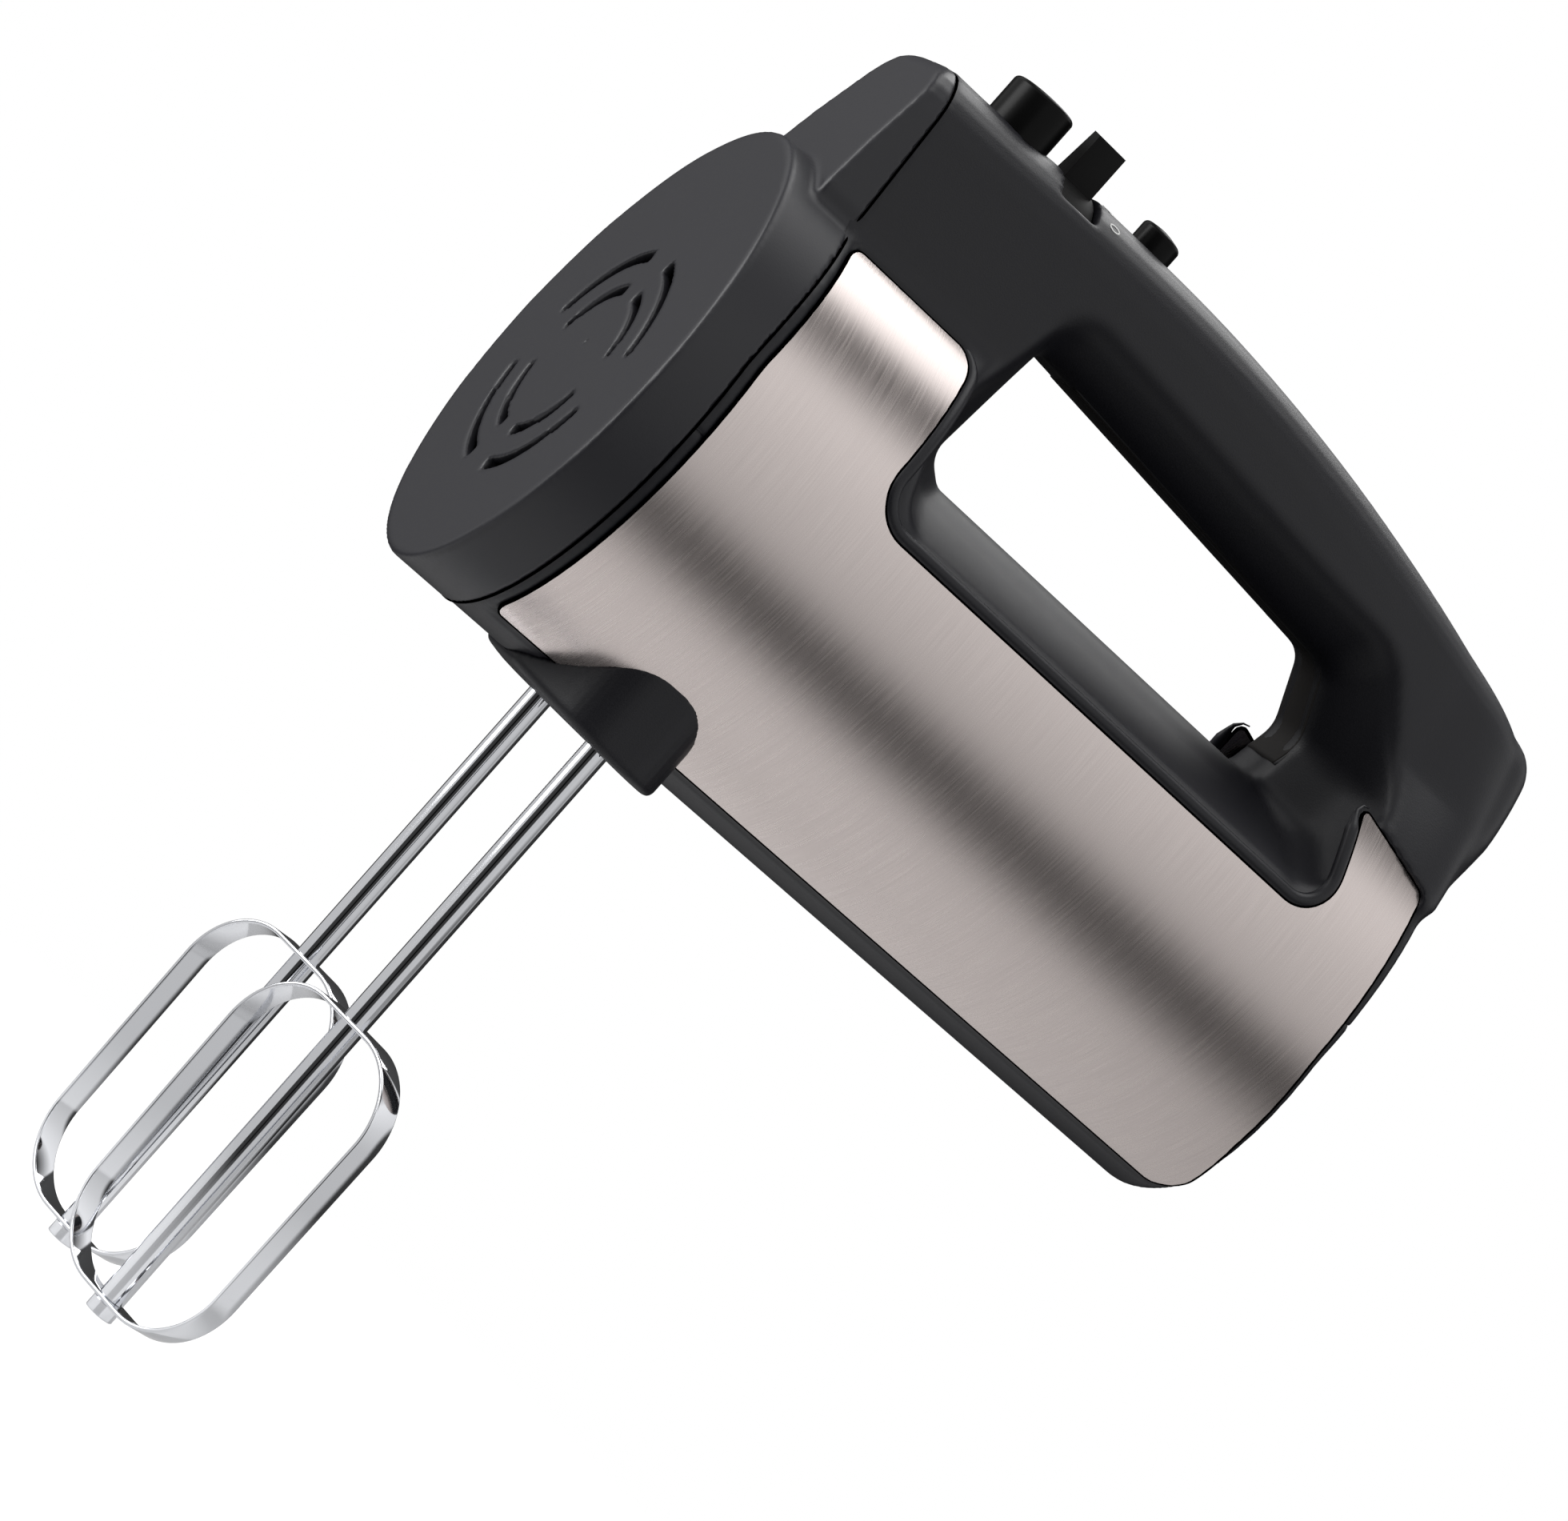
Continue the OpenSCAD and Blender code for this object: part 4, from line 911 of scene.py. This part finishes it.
@dataclass
class SpeedMarks:
    """The numerals 0 to 5 printed over the crown behind the lever.

    Attributes:
        place: Their place along X.
        first: The angle of the 0 from upright, toward the near side, in degrees.
        step: The angle from one numeral to the next.
        size: Half their width and half their height.
        radius: The crown's mean radius, for their width round it.
        strokes: Each numeral's line, from -1 to 1 both ways.
    """

    place: float = 13.8
    first: float = -42.0
    step: float = 17.0
    size: tuple[float, float] = (0.85, 1.35)
    radius: float = 16.5
    strokes: tuple[list[tuple[float, float]], ...] = (
        [(math.sin(a / 8 * math.pi), math.cos(a / 8 * math.pi)) for a in range(17)],
        [(-0.5, 0.5), (0.1, 1), (0.1, -1)],
        [(-0.8, 0.5), (-0.4, 1), (0.4, 1), (0.8, 0.5), (-0.8, -1), (0.9, -1)],
        [(-0.8, 1), (0.7, 1), (0, 0.25), (0.8, -0.2), (0.6, -0.9), (-0.2, -1), (-0.8, -0.7)],
        [(0.4, -1), (0.4, 1), (-0.8, -0.4), (0.9, -0.4)],
        [(0.8, 1), (-0.6, 1), (-0.7, 0.1), (0.3, 0.3), (0.8, -0.3), (0.4, -0.95), (-0.8, -0.85)])

    def build(self, casing: Casing) -> None:
        """Prints each numeral: a flat ribbon whose radius about the crown's axis is the handle's own."""
        table = np.array(casing.stations)
        ring = casing.section(between(np.array([self.place]), table[:, 0], table[:, 1:])[0])
        ring = ring[ring[:, 1] > 125]
        turn = np.degrees(np.arctan2(ring[:, 0], ring[:, 1] - casing.crown_z))
        order = np.argsort(turn)
        far = np.hypot(ring[:, 0], ring[:, 1] - casing.crown_z)[order]
        bar = np.array([(-0.2, -0.1), (0.2, -0.1), (0.2, 0.04), (-0.2, 0.04)])
        for number, stroke in enumerate(self.strokes):
            across, along = resampled(np.array(stroke, float) * self.size, 40).T
            angle = self.first + number * self.step + np.degrees(across / self.radius)
            r = np.interp(angle, turn[order], far)
            angle = np.radians(angle)
            out = np.stack([0 * r, np.sin(angle), np.cos(angle)], -1)
            path = np.stack([self.place - along, r * out[:, 1], casing.crown_z + r * out[:, 2]], -1)
            MARK.dress(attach(sweep(f"speed_mark_{number}", path, out, bar), Body.CASING.value))


@dataclass
class Beaters:
    """Two beaters: shaft, strap loop and rivet.

    Attributes:
        gap: Distance between the axes.
        turn: Plane of each loop, turned from X, in degrees.
        width, thick: The strap's section.
        loop: The loop's outer corners, as (across, height, radius).
    """

    gap: float = 43.5
    turn: float = -63.0
    width: float = 7.0
    thick: float = 1.0
    loop: Corners = (
        (-24, -150, 18), (24, -150, 18), (25, -73.5, 17), (-25, -73.5, 17))

    def build(self) -> None:
        """Makes both beaters."""
        flat = rounded(grown(np.array(self.loop, float), -self.thick / 2), 24)
        a = math.radians(self.turn)
        run = unit(np.roll(flat, -1, 0) - np.roll(flat, 1, 0))
        path = np.stack([flat[:, 0] * math.cos(a), flat[:, 0] * math.sin(a), flat[:, 1]], -1)
        out = np.stack([run[:, 1] * math.cos(a), run[:, 1] * math.sin(a), -run[:, 0]], -1)
        w, t = self.width / 2, self.thick / 2
        bar = rounded(np.array([(-w, -t, 0.35), (w, -t, 0.35), (w, t, 0.35), (-w, t, 0.35)]), 4)
        for sign, side, body in ((-1, "left", Body.LEFT_BEATER), (1, "right", Body.RIGHT_BEATER)):
            strap = sweep(f"beater_loop_{side}", path + (0, sign * self.gap / 2, 0), out, bar, True)
            CHROME.dress(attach(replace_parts(strap, f"beater_strap_{side}"), body.value))
            shaft = copied(f"beater_shaft_{side}", f"beater_rod_{side}", 0.25)
            CHROME.dress(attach(shaft, body.value))


@dataclass
class Drive:
    """Everything inside, which keeps its CAD shape.

    Attributes:
        finishes: The nodes of each finish.
    """

    finishes: dict[Finish, str] = field(default_factory=lambda: {
        PLAIN: "eject_rod ejector_spring lever_pivot turbo_spring spindle_left spindle_right armature_shaft "
               "front_bearing middle_bearing rear_bearing brush_springs clamp_screws housing_screws "
               "gearbox_screws motor_screws",
        CREAM: "ejector_plate speed_switch drive_gear_left drive_gear_right cooling_fan cord_clamp",
        BOARD: "control_board", INNER: "turbo_switch", CAST: "gearbox_base gearbox_cover motor_bracket",
        BRONZE: "spindle_bushes commutator brush_holders", LAMINATION: "armature_core stator_core",
        COPPER: "armature_windings field_coils", CARBON: "carbon_brushes", RUBBER: "cord_gland"})

    def build(self) -> None:
        """Dresses every inner node in place."""
        for finish, nodes in self.finishes.items():
            for node in nodes.split():
                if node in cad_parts:
                    finish.dress(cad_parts[node])


# ---- studio


@dataclass
class Studio:
    """Camera, pale floor and soft lights.

    Attributes:
        heading: The camera's heading from +Y toward +X, in degrees.
        roll: How far the camera is rolled.
        place: The camera's place in metres.
        lens: Focal length in mm.
        bands: Brightness of the surroundings by the height of their direction.
        flags: Dark upright screens: bearing from +X in degrees and the cosine of half their width.
        ground: The floor's height and radius in mm and the distances in metres where it fades.
    """

    heading: float = 24.0
    roll: float = 41.5
    place: tuple[float, float, float] = (-0.4118, -1.0207, 0.0247)
    lens: float = 121.2
    bands: tuple[tuple[float, float], ...] = (
        (-1.0, 0.16), (-0.92, 0.36), (-0.68, 0.48), (-0.46, 0.06), (-0.34, 0.05), (-0.14, 0.62),
        (0.28, 0.80), (0.60, 1.05), (0.70, 0.45), (0.78, 0.04), (0.86, 0.12), (0.92, 2.3), (1.0, 3.0))
    flags: tuple[tuple[float, float], ...] = ((222.0, 0.955), (12.0, 0.95), (66.0, 0.70), (246.0, 0.975))
    ground: tuple[float, float, float, float] = (-154.0, 700.0, 0.06, 0.40)

    def camera(self) -> None:
        """Places the camera: forward from its heading, right and up turned by the roll."""
        h, r = math.radians(self.heading), math.radians(self.roll)
        forward = Vector((math.sin(h), math.cos(h), 0))
        level, up = Vector((math.cos(h), -math.sin(h), 0)), Vector((0, 0, 1))
        right = level * math.cos(r) + up * math.sin(r)
        above = up * math.cos(r) - level * math.sin(r)
        data = bpy.data.cameras.new("portrait")
        data.lens, data.sensor_width = self.lens, 36
        made = bpy.data.objects.new("portrait", data)
        made.matrix_world = Matrix((right, above, -forward)).transposed().to_4x4()
        made.location = self.place
        bpy.context.scene.collection.objects.link(made)
        bpy.context.scene.camera = made

    def floor(self) -> None:
        """A pale round floor that fades out to the white surroundings."""
        height, radius, near, far = self.ground
        m, n = 23, 96
        flat = np.linspace(0.5, radius, m)[:, None, None] * ellipse(1, 1, n)
        points = np.concatenate([flat, np.full((m, n, 1), height)], -1).reshape(-1, 3)
        i, j = np.meshgrid(np.arange(m - 1) * n, np.arange(n), indexing="ij")
        after = (j + 1) % n
        faces = np.stack([i + j, i + n + j, i + n + after, i + after], -1).reshape(-1, 4)
        made = piece("floor", points, faces.tolist())
        data = bpy.data.materials.new("floor")
        data.use_nodes = True
        tree = data.node_tree
        shader = tree.nodes["Principled BSDF"]
        shader.inputs["Base Color"].default_value = (0.9, 0.9, 0.9, 1)
        shader.inputs["Roughness"].default_value = 0.8
        shader.inputs["Emission Color"].default_value = (1, 1, 1, 1)
        shader.inputs["Emission Strength"].default_value = 0.75
        place = Wire(tree, tree.nodes.new("ShaderNodeTexCoord").outputs["Object"])
        away = place.node("ShaderNodeVectorMath", {"operation": "LENGTH"}, place)
        length = Wire(tree, away.socket.node.outputs["Value"])
        fade = place.node("ShaderNodeMapRange", {}, length, near, far, 0.5, 0.0)
        tree.links.new(fade.socket, shader.inputs["Alpha"])
        made.data.materials.append(data)

    def surroundings(self) -> None:
        """White to the camera, a softer graded grey to everything that reflects or is lit."""
        world = bpy.data.worlds.new("studio")
        bpy.context.scene.world = world
        world.use_nodes = True
        tree = world.node_tree
        back = tree.nodes["Background"]
        geometry = Wire(tree, tree.nodes.new("ShaderNodeTexCoord").outputs["Generated"])
        high = geometry.node("ShaderNodeSeparateXYZ", {}, geometry)
        up = Wire(tree, high.socket.node.outputs["Z"])
        ramp = geometry.node("ShaderNodeValToRGB", {}, up * 0.5 + 0.5)
        stops = ramp.socket.node.color_ramp
        stops.elements.remove(stops.elements[1])
        stops.elements[0].position = 0.0
        stops.elements[0].color = (self.bands[0][1],) * 3 + (1,)
        for level, bright in self.bands[1:]:
            stops.elements.new(level * 0.5 + 0.5).color = (bright, bright, bright, 1)
        shade = ramp
        outputs = high.socket.node.outputs
        for bearing, width in self.flags:
            a = math.radians(bearing)
            toward = Wire(tree, outputs["X"]) * math.cos(a) + Wire(tree, outputs["Y"]) * math.sin(a)
            dark = toward.node("ShaderNodeMapRange", {"interpolation_type": "SMOOTHSTEP"},
                               toward, width - 0.03, width, 0.0, 0.93)
            shade = shade * (1 - dark)
        seen = Wire(tree, tree.nodes.new("ShaderNodeLightPath").outputs["Is Camera Ray"])
        tree.links.new((seen + (1 - seen) * shade).socket, back.inputs["Strength"])
        back.inputs["Color"].default_value = (1, 1, 1, 1)

    def softbox(self, name: str, place: tuple[float, float, float], size: tuple[float, float],
                power: float) -> None:
        """A rectangular light that faces the mixer, its place and size in metres, its power in watts."""
        data = bpy.data.lights.new(name, "AREA")
        data.shape, data.size, data.size_y, data.energy = "RECTANGLE", size[0], size[1], power
        made = bpy.data.objects.new(name, data)
        made.location = place
        aim = Vector((0.05, 0, 0.03)) - Vector(place)
        made.rotation_euler = aim.to_track_quat("-Z", "Y").to_euler()
        bpy.context.scene.collection.objects.link(made)

    def build(self) -> None:
        """Sets the studio up."""
        bpy.context.scene.view_settings.view_transform = "Standard"
        self.camera()
        self.floor()
        self.surroundings()
        self.softbox("nose side", (-1.3, 0.25, 0.35), (0.7, 0.9), 13)
        self.softbox("high back", (0.5, 0.7, 1.3), (0.5, 1.0), 7)


def corners(pair: tuple[Vector, Vector]) -> list[list[float]]:
    """A pair of corners as plain lists."""
    return [list(map(float, v)) for v in pair]


def main() -> None:
    """Builds the mixer and its studio."""
    logging.basicConfig(level=logging.INFO, format="%(name)s: %(message)s")
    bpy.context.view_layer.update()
    Studio().build()
    casing = Casing()
    casing.build()
    SpeedMarks().build(casing)
    sides = SteelSides((casing.half_w, casing.half_h, casing.mid_z))
    for part in (sides, Controls(), Beaters(), Drive()):
        part.build()
        LOG.info("%s done", type(part).__name__)


if __name__ == "__main__":
    main()
